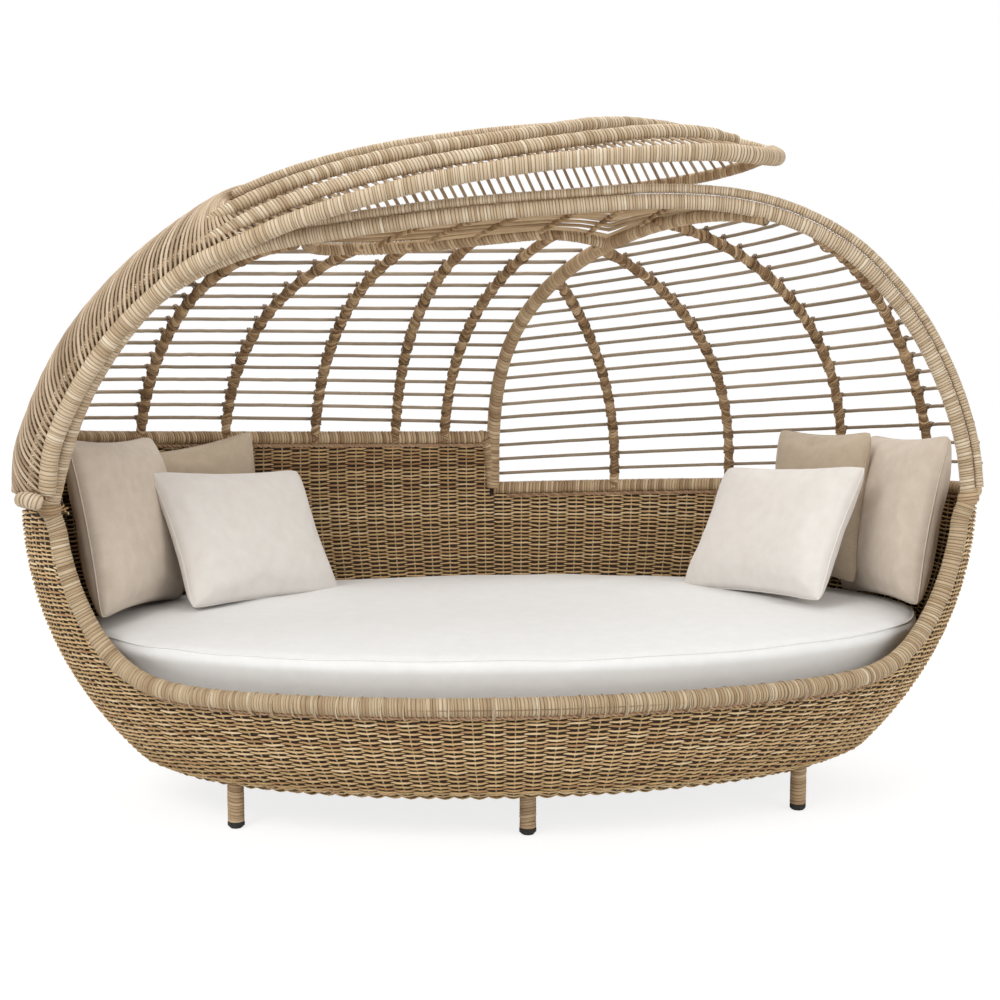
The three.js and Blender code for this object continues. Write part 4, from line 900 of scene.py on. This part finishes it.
def rib_piece(name, rib, foot, seed):
    random = np.random.default_rng(seed)
    tube = Wrapped(rib_route(rib, foot), RIB_DIAMETER)
    runs = (np.arange(int(tube.curve.length / 36)) + random.uniform(0.3, 0.7)) * 36
    bulges = [(run, random.uniform(0.4, 1.8), 8) for run in runs]
    strands = Strands()
    wrap(strands, tube, random, pitch=8.2, ridge=2.0, tilt=1.0, tone_spread=0.9, bulges=bulges,
         round_ends=True)
    start, along, normal = (part[0] for part in tube.frames(np.array([14.0 / tube.curve.length])))
    side = np.cross(along, normal)
    reach, slope, turned = tube.radius + 3, 9, 0.8
    for sign in (-1, 1):
        for drop in (12, 17):
            first = normal * reach + along * (sign * slope * math.sin(turned))
            second = side * reach + along * (sign * slope * math.cos(turned))
            strands.loop(random, start - along * drop, first, second, 1.2, 2.1, random.uniform(0.2, 0.8), 16)
    finish_piece(strands.to_object(name + "_wrap", RIB_CANE), name)


def roof_low(turn):
    """How far up the dome the roof's lower edge lies: the first rib, the ridge beam, then the seam rib."""
    if turn < ROOF_MEETS_RIDGE:
        share = (turn - ROOF_START) / (ROOF_MEETS_RIDGE - ROOF_START)
        return lerp(1, ridge_lift(ROOF_MEETS_RIDGE), share)
    if turn < RIDGE_OUTLINE[-1][0]:
        return ridge_lift(turn)
    foot, head, reach, lean = SEAM_RIB
    return reach * min(1.0, (turn - foot) / (head - foot)) ** (1 / lean)


def add_roof(random):
    """Fanned canes between the ridge beam and the arch, tied across in a few places."""
    strands, ties = Strands(), Strands()
    turns = np.linspace(ROOF_START, SEAM_RIB[1], 110)
    lows = np.array([roof_low(t) for t in turns])
    for i in range(ROOF_CANES):
        share = (i - 0.1) / ROOF_CANES
        sway = 0.12 * random.uniform(-1, 1)
        drift = sway * np.sin(np.linspace(0, math.pi, len(turns)) + random.uniform(-1, 1))
        lifts = lerp(lows, 1, share)
        lifts = np.clip(lifts + drift * (1 - lifts), lows - 0.006, 0.995)
        route = dome_point(turns, lifts, -2 + 10 * (i % 2) + random.uniform(-1, 1))
        half = random.uniform(3.2, 4.8)
        strands.lay(random, route, route - SCREEN_MIDDLE, half * 0.9, half, 8, (0, 1))
    for place in ROOF_TIES:
        low, high = roof_low(place) - 0.005, 0.985
        lifts = np.linspace(low, high, 26)
        route = dome_point(place + 0.03 * (lifts - low) / (high - low), lifts, -7)
        wrap(ties, Wrapped(route, ROOF_TIE_DIAMETER), random, pitch=8, ridge=1.8, sides=10, tilt=0.9,
             tone_spread=0.9, round_ends=True)
    finish_piece(strands.to_object("roof_rods_canes", ROOF_CANE), "roof_rods")
    finish_piece(ties.to_object("roof_rods_ties", RIB_CANE), "roof_rods")


# Visor

def visor_rib_route(across, bend, reach, last):
    """Route of a visor rib, which leaves its line at the bend and runs out into a rail at its end."""
    along = np.linspace(0, reach, 90)
    return spaced(visor_point(along, lerp(across, last, smoothstep(along, bend, reach))))


def visor_rib(name, rib, seed):
    """A rib of the visor: its wrap is thin in the woven part and thick and knotted over the top."""
    random = np.random.default_rng(seed)
    tube = Wrapped(visor_rib_route(**rib), VISOR_RIB_DIAMETER)
    start = VISOR_OPEN_FROM * VISOR[1].length
    runs = np.arange(start, tube.curve.length - 60, 13) + random.uniform(-4, 4)
    swells = [VISOR_RIB_SWELL * min(1, (run - start) / 160) for run in runs]
    bulges = [(run, swell * random.uniform(0.75, 1.2), 11) for run, swell in zip(runs, swells)]
    strands = Strands()
    wrap(strands, tube, random, pitch=6.8, ridge=1.9, tilt=0.6, tone_spread=0.8, bulges=bulges,
         round_ends=True)
    finish_piece(strands.to_object(name + "_wrap", LIGHT_CANE), name)


def visor_lean(along):
    """How far a strand runs on along the visor from the front rail to the rear rail."""
    steep = lerp(VISOR_LEAN_LOW, VISOR_LEAN_HIGH, smoothstep(along, 0, 0.2))
    return float(steep * (1 - smoothstep(along, 0.27, 0.42)))


def visor_strand(strands, random, along, lean, outset, width):
    """One cane from the front rail over or under the ribs to the rear rail, leaning along the visor."""
    across = np.linspace(0, 2, 41)
    places = along + lean * across / 2
    keep = (places > 0.004) & (places < 0.97)
    if keep.sum() < 6:
        return
    lift = outset * (1 - np.abs(1 - across) ** 8)
    route = visor_point(np.clip(places, 0, 1), across, lift)[keep]
    half = width / 2 * random.uniform(0.85, 1.1)
    strands.lay(random, route, route - VISOR_MIDDLE, half * 0.7, half, 6, (0, 1))


def add_visor():
    front, top, rear = VISOR
    share = np.linspace(0, 1, 140)
    wrapped_piece("visor_front_rail", "light_wrap", LIGHT_CANE, front.at(share), VISOR_RAIL_DIAMETER, 61,
                  pitch=6.4, ridge=1.7, sides=18, spread=0.45, round_ends=True)
    wrapped_piece("visor_top_rib", "tan_wrap", LIGHT_CANE, top.at(share), VISOR_RIB_DIAMETER, 62, pitch=6.6,
                  ridge=1.3)
    wrapped_piece("visor_rear_rail", "tan_wrap", TAN_CANE, rear.at(share), VISOR_REAR_DIAMETER, 63,
                  pitch=7.4, ridge=1.5, tone_spread=0.7)
    visor_rib("visor_lower_rib", VISOR_LOWER_RIB, 64)
    visor_rib("visor_upper_rib", VISOR_UPPER_RIB, 65)
    height = WAIST + VISOR_BASE_RISE
    places = np.linspace(0, 1, 13)
    insets = np.where(places == 0, 0, VISOR_BASE_DIAMETER / 2)
    route = bowl_point(lerp(COLLAR_TURN, VISOR_BASE_END, places), height, insets)
    wrapped_piece("visor_base_rail", "light_wrap", LIGHT_CANE, np.vstack([VISOR_BASE_ROLL, route[1:]]),
                  VISOR_BASE_WRAP, 66, pitch=7.4, ridge=2.0, round_ends=True)
    random = np.random.default_rng(67)
    strands = Strands()
    clear = VISOR_RIB_DIAMETER / 2 + 2.5
    along = VISOR_STRANDS_FROM
    while along < VISOR_STRANDS_TO:
        open_share = smoothstep(along, VISOR_OPEN_FROM, VISOR_OPEN_TO)
        visor_strand(strands, random, along, visor_lean(along), lerp(clear, -clear, open_share),
                     VISOR_STRAND_WIDTH)
        along += lerp(VISOR_CLOSE_PITCH, VISOR_RUNG_PITCH, open_share) / top.length
    for along in np.arange(VISOR_BACK_FROM, VISOR_OPEN_TO, VISOR_BACK_PITCH / top.length):
        visor_strand(strands, random, along, VISOR_BACK_LEAN, -clear, VISOR_STRAND_WIDTH * 0.85)
    finish_piece(strands.to_object("visor_strand_canes", VISOR_CANE), "visor_strands")


# Bowl weave

def top_of_wall(turn):
    """Height of the wall's top edge under the rails and the rim."""
    turn = np.asarray(turn, float)
    back = rail_height(turn) - RAIL_DIAMETER / 2
    share = np.clip(turn - 1, 0, 1)
    front = rim_height(share) - RIM_DIAMETER / 2
    return np.where(turn <= 1, back, np.where((share > 0) & (share < 1), front, WAIST))


def wall_sides(turn, level):
    """(outer, inner) points of the wall at a level: below zero it runs in under the base."""
    inset = np.where(level < 0, -level, 0) + BASE_ROUND
    base_out = bowl_point(turn, BASE_HEIGHT, inset)
    base_in = bowl_point(turn, BASE_HEIGHT + WALL, inset + WALL * 0.4)
    height = BASE_HEIGHT + BASE_ROUND + np.maximum(level - BASE_ROUND, 0)
    side_out = wall_point(turn, height)
    side_in = wall_point(turn, height, WALL)
    corner = smoothstep(level, 0, BASE_ROUND)[..., None]
    return lerp(base_out, side_out, corner), lerp(base_in, side_in, corner)


def twisted_row(strands, random, points, normals, radius, twist_length):
    """Two canes twisted round each other along a route."""
    runs = path_runs(points)
    along = unit(np.gradient(points, axis=0))
    out = unit(normals - along * (normals * along).sum(-1, keepdims=True))
    side = np.cross(along, out)
    for phase in (0, math.pi):
        angle = runs / twist_length * 2 * math.pi + phase
        offset = (out * np.cos(angle)[:, None] + side * np.sin(angle)[:, None]) * radius * 0.55
        strands.lay(random, points + offset, out, radius * 0.62, radius * 0.62, 6, (0.2, 0.8))


def add_weave(random):
    """Rows of cane that go in front of one stake and behind the next."""
    places = np.arange(STAKES * POINTS_PER_STAKE) / POINTS_PER_STAKE
    turns = turn_at(places)
    tops = top_of_wall(turns)
    levels = np.arange(UNDER_EDGE, LEFT_RAIL[0] + LEFT_RAIL[1] - BASE_HEIGHT, ROW_PITCH)
    groups = {"base": Strands(), "front": Strands(), "back": Strands()}
    for row, level in enumerate(levels):
        wave = np.cos(places * math.pi + row * math.pi)
        wave = np.sign(wave) * np.abs(wave) ** 1.1
        fullness = 0.88 + 0.3 * np.abs(wave)
        sway = 0.9 * np.sin(turns * 9 + row * 0.61) + 0.55 * random.normal(0, 1, len(turns))
        inside = tops - 3 > BASE_HEIGHT + level
        outer, inner = wall_sides(turns, np.full(len(turns), level) + sway * (level > 0))
        points = lerp(outer, inner, (0.5 - ROW_WAVE * wave)[:, None])
        normals = outer - inner
        tone = float(np.clip(random.normal(0.5, 0.3), 0, 1))
        size = ROW_HALF * random.uniform(0.9, 1.1)
        shift = random.uniform(0, CANE_START)
        name = "base" if level < 0 else "front"
        if inside.all():
            # The wave also gives the painted shade on the faces of a row that turn away behind a stake.
            groups[name].sweep(points, normals, ROW_HALF_OUT, size * fullness, 5, tone, True, shift, wave)
            continue
        starts = np.nonzero(inside & ~np.roll(inside, 1))[0]
        for start in starts:
            run = (np.arange(len(turns)) + start) % len(turns)
            stop = np.nonzero(~inside[run])[0][0]
            if stop < 5:
                continue
            run = run[:stop]
            groups["back"].sweep(points[run], normals[run], ROW_HALF_OUT, size * fullness[run], 5, tone,
                                 False, shift, wave[run])
    for name, strands in groups.items():
        finish_piece(strands.to_object(f"bowl_weave_{name}", WEAVE_CANE), "bowl")


def add_borders(random):
    """Twisted rows that close the weave under the rails and the rim."""
    strands = Strands()
    for low, high, drop in BORDERS:
        turns = np.linspace(low, high, 900)
        height = top_of_wall(turns) - drop
        outer, inner = wall_point(turns, height), wall_point(turns, height, WALL)
        for depth in BORDER_DEPTHS:
            twisted_row(strands, random, lerp(outer, inner, depth), outer - inner, BORDER_RADIUS,
                        BORDER_TWIST)
    finish_piece(strands.to_object("bowl_borders", TWIST_CANE), "bowl")


def add_stakes(random):
    strands = Strands()
    for stake in range(STAKES):
        turn = float(STAKE_TURNS[stake])
        reach = float(top_of_wall(turn)) - BASE_HEIGHT
        level = np.concatenate([np.linspace(UNDER_EDGE, BASE_ROUND, 8),
                                np.linspace(BASE_ROUND, reach, 16)[1:]])
        outer, inner = wall_sides(np.full(len(level), turn), level)
        strands.lay(random, lerp(outer, inner, 0.5), outer - inner, STAKE_HALF_OUT, STAKE_HALF_SIDE, 6,
                    (0, 1))
    finish_piece(strands.to_object("bowl_stakes", STAKE_CANE), "bowl")


def add_shade_sheet():
    """A thin near-black sheet in the middle of the weave: painted shade seen between the strands, which also
    keeps light from showing through it.
    """
    shade_skin = Strands()
    columns = turn_at(np.arange(STAKES * 3) / 3)
    reach = top_of_wall(columns) + 2 - BASE_HEIGHT
    under = np.linspace(UNDER_EDGE, BASE_ROUND, 8)
    level = np.concatenate([np.repeat(under[:, None], len(columns), 1),
                            lerp(BASE_ROUND, reach[None], np.linspace(0, 1, 30)[1:, None])])
    outer, inner = wall_sides(np.broadcast_to(columns, level.shape), level)
    sheets = [lerp(outer, inner, depth) for depth in SHADE_SHEET_DEPTHS]
    section = np.concatenate([sheets[0], sheets[1][::-1]]).transpose(1, 0, 2)
    shade_skin.add_rings(section[::-1], 0.0, 0.5, 0.5, True)
    finish_piece(shade_skin.to_object("bowl_shade_sheet", SHADE_SHEET), "bowl")


def add_bowl():
    random = np.random.default_rng(77)
    add_weave(random)
    add_borders(random)
    add_stakes(random)
    add_shade_sheet()


# Legs

def add_legs():
    seed = 80
    for row, side in (("front", -1), ("back", 1)):
        for name, x, y in (("left", -SIDE_LEG_OUT, SIDE_LEG_FORWARD), ("middle", 0, MIDDLE_LEG_FORWARD),
                           ("right", SIDE_LEG_OUT, SIDE_LEG_FORWARD)):
            route = np.linspace((x, side * y, LEG_BOTTOM), (x, side * y, LEG_TOP), 12)
            wrapped_piece(f"leg_{row}_{name}", "light_wrap", TAN_CANE, route, LEG_DIAMETER, seed,
                          pitch=7.2, ridge=1.5, tilt=0.5, sides=18)
            seed += 1


# Soft goods

CLOTH_FRAMES = 20
CLOTH = {
    "quality": 5, "mass": 0.15, "use_pressure": True, "tension_stiffness": 15, "compression_stiffness": 15,
    "shear_stiffness": 5, "bending_stiffness": 0.6,
}


def grid_object(name, points, faces, material):
    mesh = bpy.data.meshes.new(name)
    mesh.from_pydata([tuple(p) for p in points], [], faces)
    mesh.materials.append(material)
    mesh.shade_smooth()
    return linked(name, mesh)


def mesh_points(piece):
    points = np.zeros(len(piece.data.vertices) * 3)
    piece.data.vertices.foreach_get("co", points)
    return points.reshape(-1, 3)


def set_points(piece, points):
    piece.data.vertices.foreach_set("co", points.astype(np.float32).ravel())
    piece.data.update()


def puff(piece, cap, pressure):
    """Blows the cloth up for a while and keeps how far each point moved, up to the cap."""
    rest = mesh_points(piece)
    cloth = piece.modifiers.new("Cloth", "CLOTH")
    for name, value in CLOTH.items():
        setattr(cloth.settings, name, value)
    cloth.settings.uniform_pressure_force = pressure
    cloth.settings.effector_weights.gravity = 0
    cloth.point_cache.frame_start, cloth.point_cache.frame_end = 1, CLOTH_FRAMES
    scene = bpy.context.scene
    for number in range(1, CLOTH_FRAMES + 1):
        scene.frame_set(number)
    step = mesh_points(piece.evaluated_get(bpy.context.evaluated_depsgraph_get())) - rest
    piece.modifiers.remove(cloth)
    scene.frame_set(1)
    size = np.linalg.norm(step, axis=1, keepdims=True)
    set_points(piece, rest + step * np.minimum(1, cap / np.maximum(size, 1e-9)))


def soften(piece):
    """Divides each face of a piece once and rounds it."""
    modifier = piece.modifiers.new("Subdivision", "SUBSURF")
    modifier.levels = modifier.render_levels = 1
    graph = bpy.context.evaluated_depsgraph_get()
    mesh = bpy.data.meshes.new_from_object(piece.evaluated_get(graph))
    piece.modifiers.clear()
    piece.data = mesh
    mesh.shade_smooth()


def ring_tube(points, radius, sides=6):
    """Points and faces of a thin closed tube along a closed line."""
    along = unit(np.roll(points, -1, axis=0) - np.roll(points, 1, axis=0))
    start = np.cross(along[0], [0.3, 0.5, 0.81])
    normal, rings = unit(start), []
    for point, tangent in zip(points, along):
        normal = unit(normal - tangent * (normal @ tangent))
        side = np.cross(tangent, normal)
        rings.append([point + radius * (normal * math.cos(a) + side * math.sin(a))
                      for a in round_angles(sides)])
    rings = np.array(rings)
    twist = int(np.argmin([np.linalg.norm(np.roll(rings[0], -k, axis=0) - rings[-1]) for k in range(sides)]))
    faces = []
    for i in range(len(rings)):
        ahead, turned = (0, twist) if i == len(rings) - 1 else ((i + 1) * sides, 0)
        for j in range(sides):
            k = (j + 1) % sides
            faces.append((i * sides + j, i * sides + k,
                          ahead + (k + turned) % sides, ahead + (j + turned) % sides))
    return rings.reshape(-1, 3), faces


def with_piping(piece, lines, radius, material):
    """Joins thin piping along closed lines to a soft piece."""
    points = [mesh_points(piece)]
    faces = [tuple(p.vertices) for p in piece.data.polygons]
    offset = len(points[0])
    for line in lines:
        more, more_faces = ring_tube(line, radius)
        points.append(more)
        faces += [tuple(v + offset for v in face) for face in more_faces]
        offset += len(more)
    name = piece.name
    bpy.data.objects.remove(piece)
    return grid_object(name, np.vstack(points), faces, material)


def pillow_surface(u, v, size):
    """Faces of a pillow in millimetres, its foot at zero, for grids u and v from -1 to 1."""
    width, height, _ = size
    corner = 1 - CORNER_DRAW * (np.abs(u * v)) ** 8
    x = width / 2 * u * (1 - PILLOW_DRAW * (1 - v * v)) * corner
    z = height / 2 * v * (1 - PILLOW_DRAW * (1 - u * u)) * corner + height / 2
    swell = ((1 - np.abs(u) ** 3) * (1 - np.abs(v) ** 3)) ** 0.52
    return x, z, swell


def pillow_folds(u, v, size, random):
    """Soft folds of a pillow's cover in millimetres: puckers along the seam, creases at the corners."""
    width, height, _ = size
    from_edge = np.minimum((1 - np.abs(u)) * width / 2, (1 - np.abs(v)) * height / 2)
    along = np.where(np.abs(u) * width > np.abs(v) * height, v * height, u * width) / 2
    phases = random.uniform(0, 6, 8)
    pucker = np.sin(along / 7 + 2 * np.sin(along / 23 + phases[0]) + phases[1])
    folds = 0.9 * pucker * np.exp(-((from_edge - 9) / 9) ** 2)
    for i, (side_u, side_v) in enumerate(((-1, -1), (1, -1), (-1, 1), (1, 1))):
        away_x, away_z = (side_u - u) * width / 2, (side_v - v) * height / 2
        reach = np.hypot(away_x, away_z)
        angle = np.arctan2(np.abs(away_z), np.abs(away_x))
        crease = np.cos(angle * random.uniform(5, 8) + phases[2 + i])
        folds = folds + 3.2 * crease * np.exp(-((reach - 48) / 38) ** 2)
    broad = np.sin(u * 2.3 + phases[6]) * np.sin(v * 1.9 + phases[7])
    return folds + 3.0 * broad * (1 - u ** 4) * (1 - v ** 4)


def place_pillow(name, size):
    """Turn of a pillow and its place, found from the box of its solid."""
    turn, lean, tilt = (math.radians(a) for a in PILLOW_TURNS[name])
    rotation = np.array(Euler((0, 0, turn)).to_matrix() @ Euler((-lean, 0, 0)).to_matrix()
                        @ Euler((0, -tilt, 0)).to_matrix())
    share = np.linspace(-1, 1, 8)
    u, v = np.meshgrid(share, share)
    x, z, swell = pillow_surface(u, v, size)
    depth = lerp(16, size[2], swell) / 2
    both = np.concatenate([np.stack([x, s * depth, z], -1).reshape(-1, 3) for s in (-1, 1)]) @ rotation.T
    low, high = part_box(name)
    middle = (np.array(low) + np.array(high)) / 2 / MM + PILLOW_SHIFTS.get(name, (0, 0, 0))
    return rotation, middle - (both.min(0) + both.max(0)) / 2


def add_pillow(name, material, seed, cells=40):
    kind = name.split("_")[1]
    size = PILLOW_SIZES[kind]
    random = np.random.default_rng(seed)
    rotation, place = place_pillow(name, size)
    share = np.sin(np.linspace(-1, 1, cells + 1) * math.pi / 2 * 0.8) / math.sin(math.pi / 2 * 0.8)
    u, v = np.meshgrid(share, share)
    x, z, swell = pillow_surface(u * 0.985, v * 0.985, size)
    depth = lerp(1.2, size[2], swell) / 2
    side = cells + 1
    front = np.stack([x, -depth - pillow_folds(u, v, size, random) * swell, z], -1).reshape(-1, 3)
    back = np.stack([x, depth + pillow_folds(u, v, size, random) * swell, z], -1).reshape(-1, 3)
    numbers = np.arange(side * side).reshape(side, side)
    edge = [int(i) for line in (numbers[0], numbers[1:, -1], numbers[-1, -2::-1], numbers[-2:0:-1, 0])
            for i in line]
    front[edge, 1] = 0
    points, index_back = list(front), {i: i for i in edge}
    for i in range(side * side):
        if i not in index_back:
            index_back[i] = len(points)
            points.append(back[i])
    faces = []
    for row in range(cells):
        for column in range(cells):
            a = row * side + column
            corners = (a, a + 1, a + side + 1, a + side)
            faces += [corners, tuple(index_back[i] for i in corners[::-1])]
    piece = grid_object(name + "_cover", np.array(points) * MM, faces, material)
    puff(piece, 0.008, 3.5)
    soften(piece)
    seam = mesh_points(piece)[edge_loop(piece, edge)]
    piece = with_piping(piece, [seam], PILLOW_PIPING, material)
    set_points(piece, mesh_points(piece) @ rotation.T + place * MM)
    return piece


def edge_loop(piece, corners):
    """The subdivided line through the given vertices, as vertex numbers in order."""
    links = {}
    for e in piece.data.edges:
        a, b = e.vertices
        links.setdefault(a, set()).add(b)
        links.setdefault(b, set()).add(a)
    line = []
    for a, b in zip(corners, corners[1:] + corners[:1]):
        line.append(a)
        shared = links[a] & links[b]
        line += sorted(shared)[:1]
    return line


def cushion_rings(bottom):
    """(half width, share, height) from the middle of the cushion's top to the middle of its underside."""
    half, rounding, top = CUSHION_HALF, CUSHION_ROUNDING, bottom + CUSHION_THICKNESS
    foot = half - CUSHION_FLARE
    bend = np.radians(np.linspace(0, 90, 5))
    rings = [(half - rounding, share, top + CUSHION_CROWN * (1 - share ** 2.4))
             for share in (0.02, 0.15, 0.3, 0.45, 0.6, 0.73, 0.84, 0.92)]
    rings += [(half - rounding + rounding * math.sin(a), 1, top - rounding + rounding * math.cos(a))
              for a in bend]
    for share in (0.2, 0.4, 0.6, 0.8):
        rings.append((half - CUSHION_FLARE * share - 4 * math.sin(share * math.pi), 1,
                      lerp(top - rounding, bottom + rounding, share)))
    rings += [(foot - rounding + rounding * math.sin(a), 1, bottom + rounding - rounding * math.cos(a))
              for a in bend[::-1]]
    return rings + [(foot - rounding, share, bottom) for share in (0.8, 0.5, 0.2, 0.02)]


def add_cushion():
    low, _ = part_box("seat_cushion")
    segments = CUSHION_SEGMENTS
    angles = round_angles(segments)
    rings = cushion_rings(low.z / MM)
    points = []
    for out, share, z in rings:
        x = share * out * np.cos(angles)
        y = share * (out - CUSHION_HALF + CUSHION_DEPTH) * np.sin(angles) + CUSHION_BACK
        points.append(np.stack([x, y, np.full(segments, z)], -1))
    faces = []
    for i in range(len(rings) - 1):
        for j in range(segments):
            a, b = i * segments + j, i * segments + (j + 1) % segments
            faces.append((a, a + segments, b + segments, b))
    faces.append(tuple(range(segments)))
    faces.append(tuple(range((len(rings) - 1) * segments, len(rings) * segments))[::-1])
    piece = grid_object("seat_cushion_cover", np.vstack(points) * MM + MIDDLE, faces, SEAT_CLOTH)
    puff(piece, 0.007, 2.0)
    now = mesh_points(piece)
    now[:, 2] = np.maximum(now[:, 2], low.z)
    x, y = now[:, 0], now[:, 1]
    ripple = 0.0011 * np.sin(x * 23 + 3 * np.sin(y * 9)) + 0.0009 * np.sin(y * 31 + 2 * np.sin(x * 13))
    now[:, 2] += np.where(now[:, 2] > low.z + 0.1, ripple, 0)
    set_points(piece, now)
    seams = []
    for ring in (UPPER_SEAM, LOWER_SEAM):
        line = now[ring * segments:(ring + 1) * segments]
        seams.append(Curve(np.vstack([line, line[:1]]), 3).points[:-1])
    soften(piece)
    piece = with_piping(piece, seams, CUSHION_PIPING, SEAT_CLOTH)
    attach(piece, "cushion")
    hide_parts("seat_cushion")


def add_soft_goods():
    add_cushion()
    cloths = {"cream": CREAM_CLOTH, "beige": BEIGE_CLOTH, "taupe": TAUPE_CLOTH}
    for seed, name in enumerate(PILLOW_TURNS):
        _, kind, side = name.split("_")
        piece = add_pillow(name, cloths[kind], 90 + seed)
        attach(piece, f"{kind}_pillow_{side}")
        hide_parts(name)


def finish_cad_nodes():
    for name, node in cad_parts.items():
        if name.startswith("glide"):
            material = RUBBER
        elif name.startswith(("seat_ring", "cross_bar")):
            material = METAL
        elif name == "seat_deck":
            material = BOARD
        else:
            continue
        node.data.materials.clear()
        node.data.materials.append(material)


# Floor, light and camera

WHITE = (1, 1, 1, 1)
FLOOR_REACH, FLOOR_DROP = 30, 0.001
# Name, place and size in metres, watts
LAMPS = (
    ("key", (-2.6, -3.2, 3.6), 2.4, 95), ("fill", (3.2, -3.4, 2.2), 3.0, 42),
    ("top", (0.3, 0.4, 4.2), 3.0, 55), ("back", (0.8, 3.6, 2.6), 2.6, 34),
)
LAMP_AIM, LAMP_COLOR = (0, 0, 0.6), (1, 0.985, 0.96)
CAMERA_PLACE, CAMERA_DOWN, CAMERA_TURN, CAMERA_LENS = (-0.4189, -3.8006, 1.12), 7, -6, 61.56


def add_floor():
    """A wide floor that the camera sees almost white."""
    material, shading = new_material("floor")
    shader = shading.tree.nodes["Principled BSDF"]
    shading.fill(shader, {"Base Color": (0.9, 0.9, 0.9, 1), "Roughness": 0.9})
    seen = shading.math("MULTIPLY", shading.node("LightPath")["Is Camera Ray"], 0.65)
    glow = shading.node("Emission", {0: WHITE, 1: 1.24})[0]
    mixed = shading.node("MixShader", {0: seen, 1: shader.outputs[0], 2: glow})[0]
    shading.fill(shading.tree.nodes["Material Output"], {0: mixed})
    corners = [(x * FLOOR_REACH, y * FLOOR_REACH, -FLOOR_DROP)
               for x, y in ((-1, -1), (1, -1), (1, 1), (-1, 1))]
    grid_object("floor", corners, [(0, 1, 2, 3)], material)


def add_world():
    """Soft light from all round, white for the camera and in reflections."""
    world = bpy.data.worlds.new("studio")
    bpy.context.scene.world = world
    world.use_nodes = True
    shading = Shading(world.node_tree)
    plain = world.node_tree.nodes["Background"]
    shading.fill(plain, {0: (1, 0.995, 0.985, 1), 1: 0.62})
    white = shading.node("Background", {0: WHITE, 1: 1})[0]
    path = shading.node("LightPath")
    seen = shading.math("MAXIMUM", path["Is Camera Ray"], path["Is Glossy Ray"])
    mixed = shading.node("MixShader", {0: seen, 1: plain.outputs[0], 2: white})[0]
    shading.fill(world.node_tree.nodes["World Output"], {0: mixed})


def add_lights():
    for name, place, size, power in LAMPS:
        lamp = bpy.data.lights.new(name, "AREA")
        lamp.shape = "DISK"
        lamp.size = size
        lamp.energy = power
        lamp.color = LAMP_COLOR
        made = linked(name, lamp)
        made.location = place
        aim = Vector(LAMP_AIM) - Vector(place)
        made.rotation_euler = aim.to_track_quat("-Z", "Y").to_euler()


def add_camera():
    camera = bpy.data.cameras.new("camera")
    camera.lens = CAMERA_LENS
    camera.sensor_width = 36
    made = linked("camera", camera)
    made.location = CAMERA_PLACE
    made.rotation_euler = (math.radians(90 - CAMERA_DOWN), 0, math.radians(CAMERA_TURN))
    bpy.context.scene.camera = made


bpy.context.scene.view_settings.view_transform = "Standard"
add_main_tubes()
add_canopy()
add_visor()
add_bowl()
add_legs()
add_soft_goods()
finish_cad_nodes()
add_floor()
add_world()
add_lights()
add_camera()
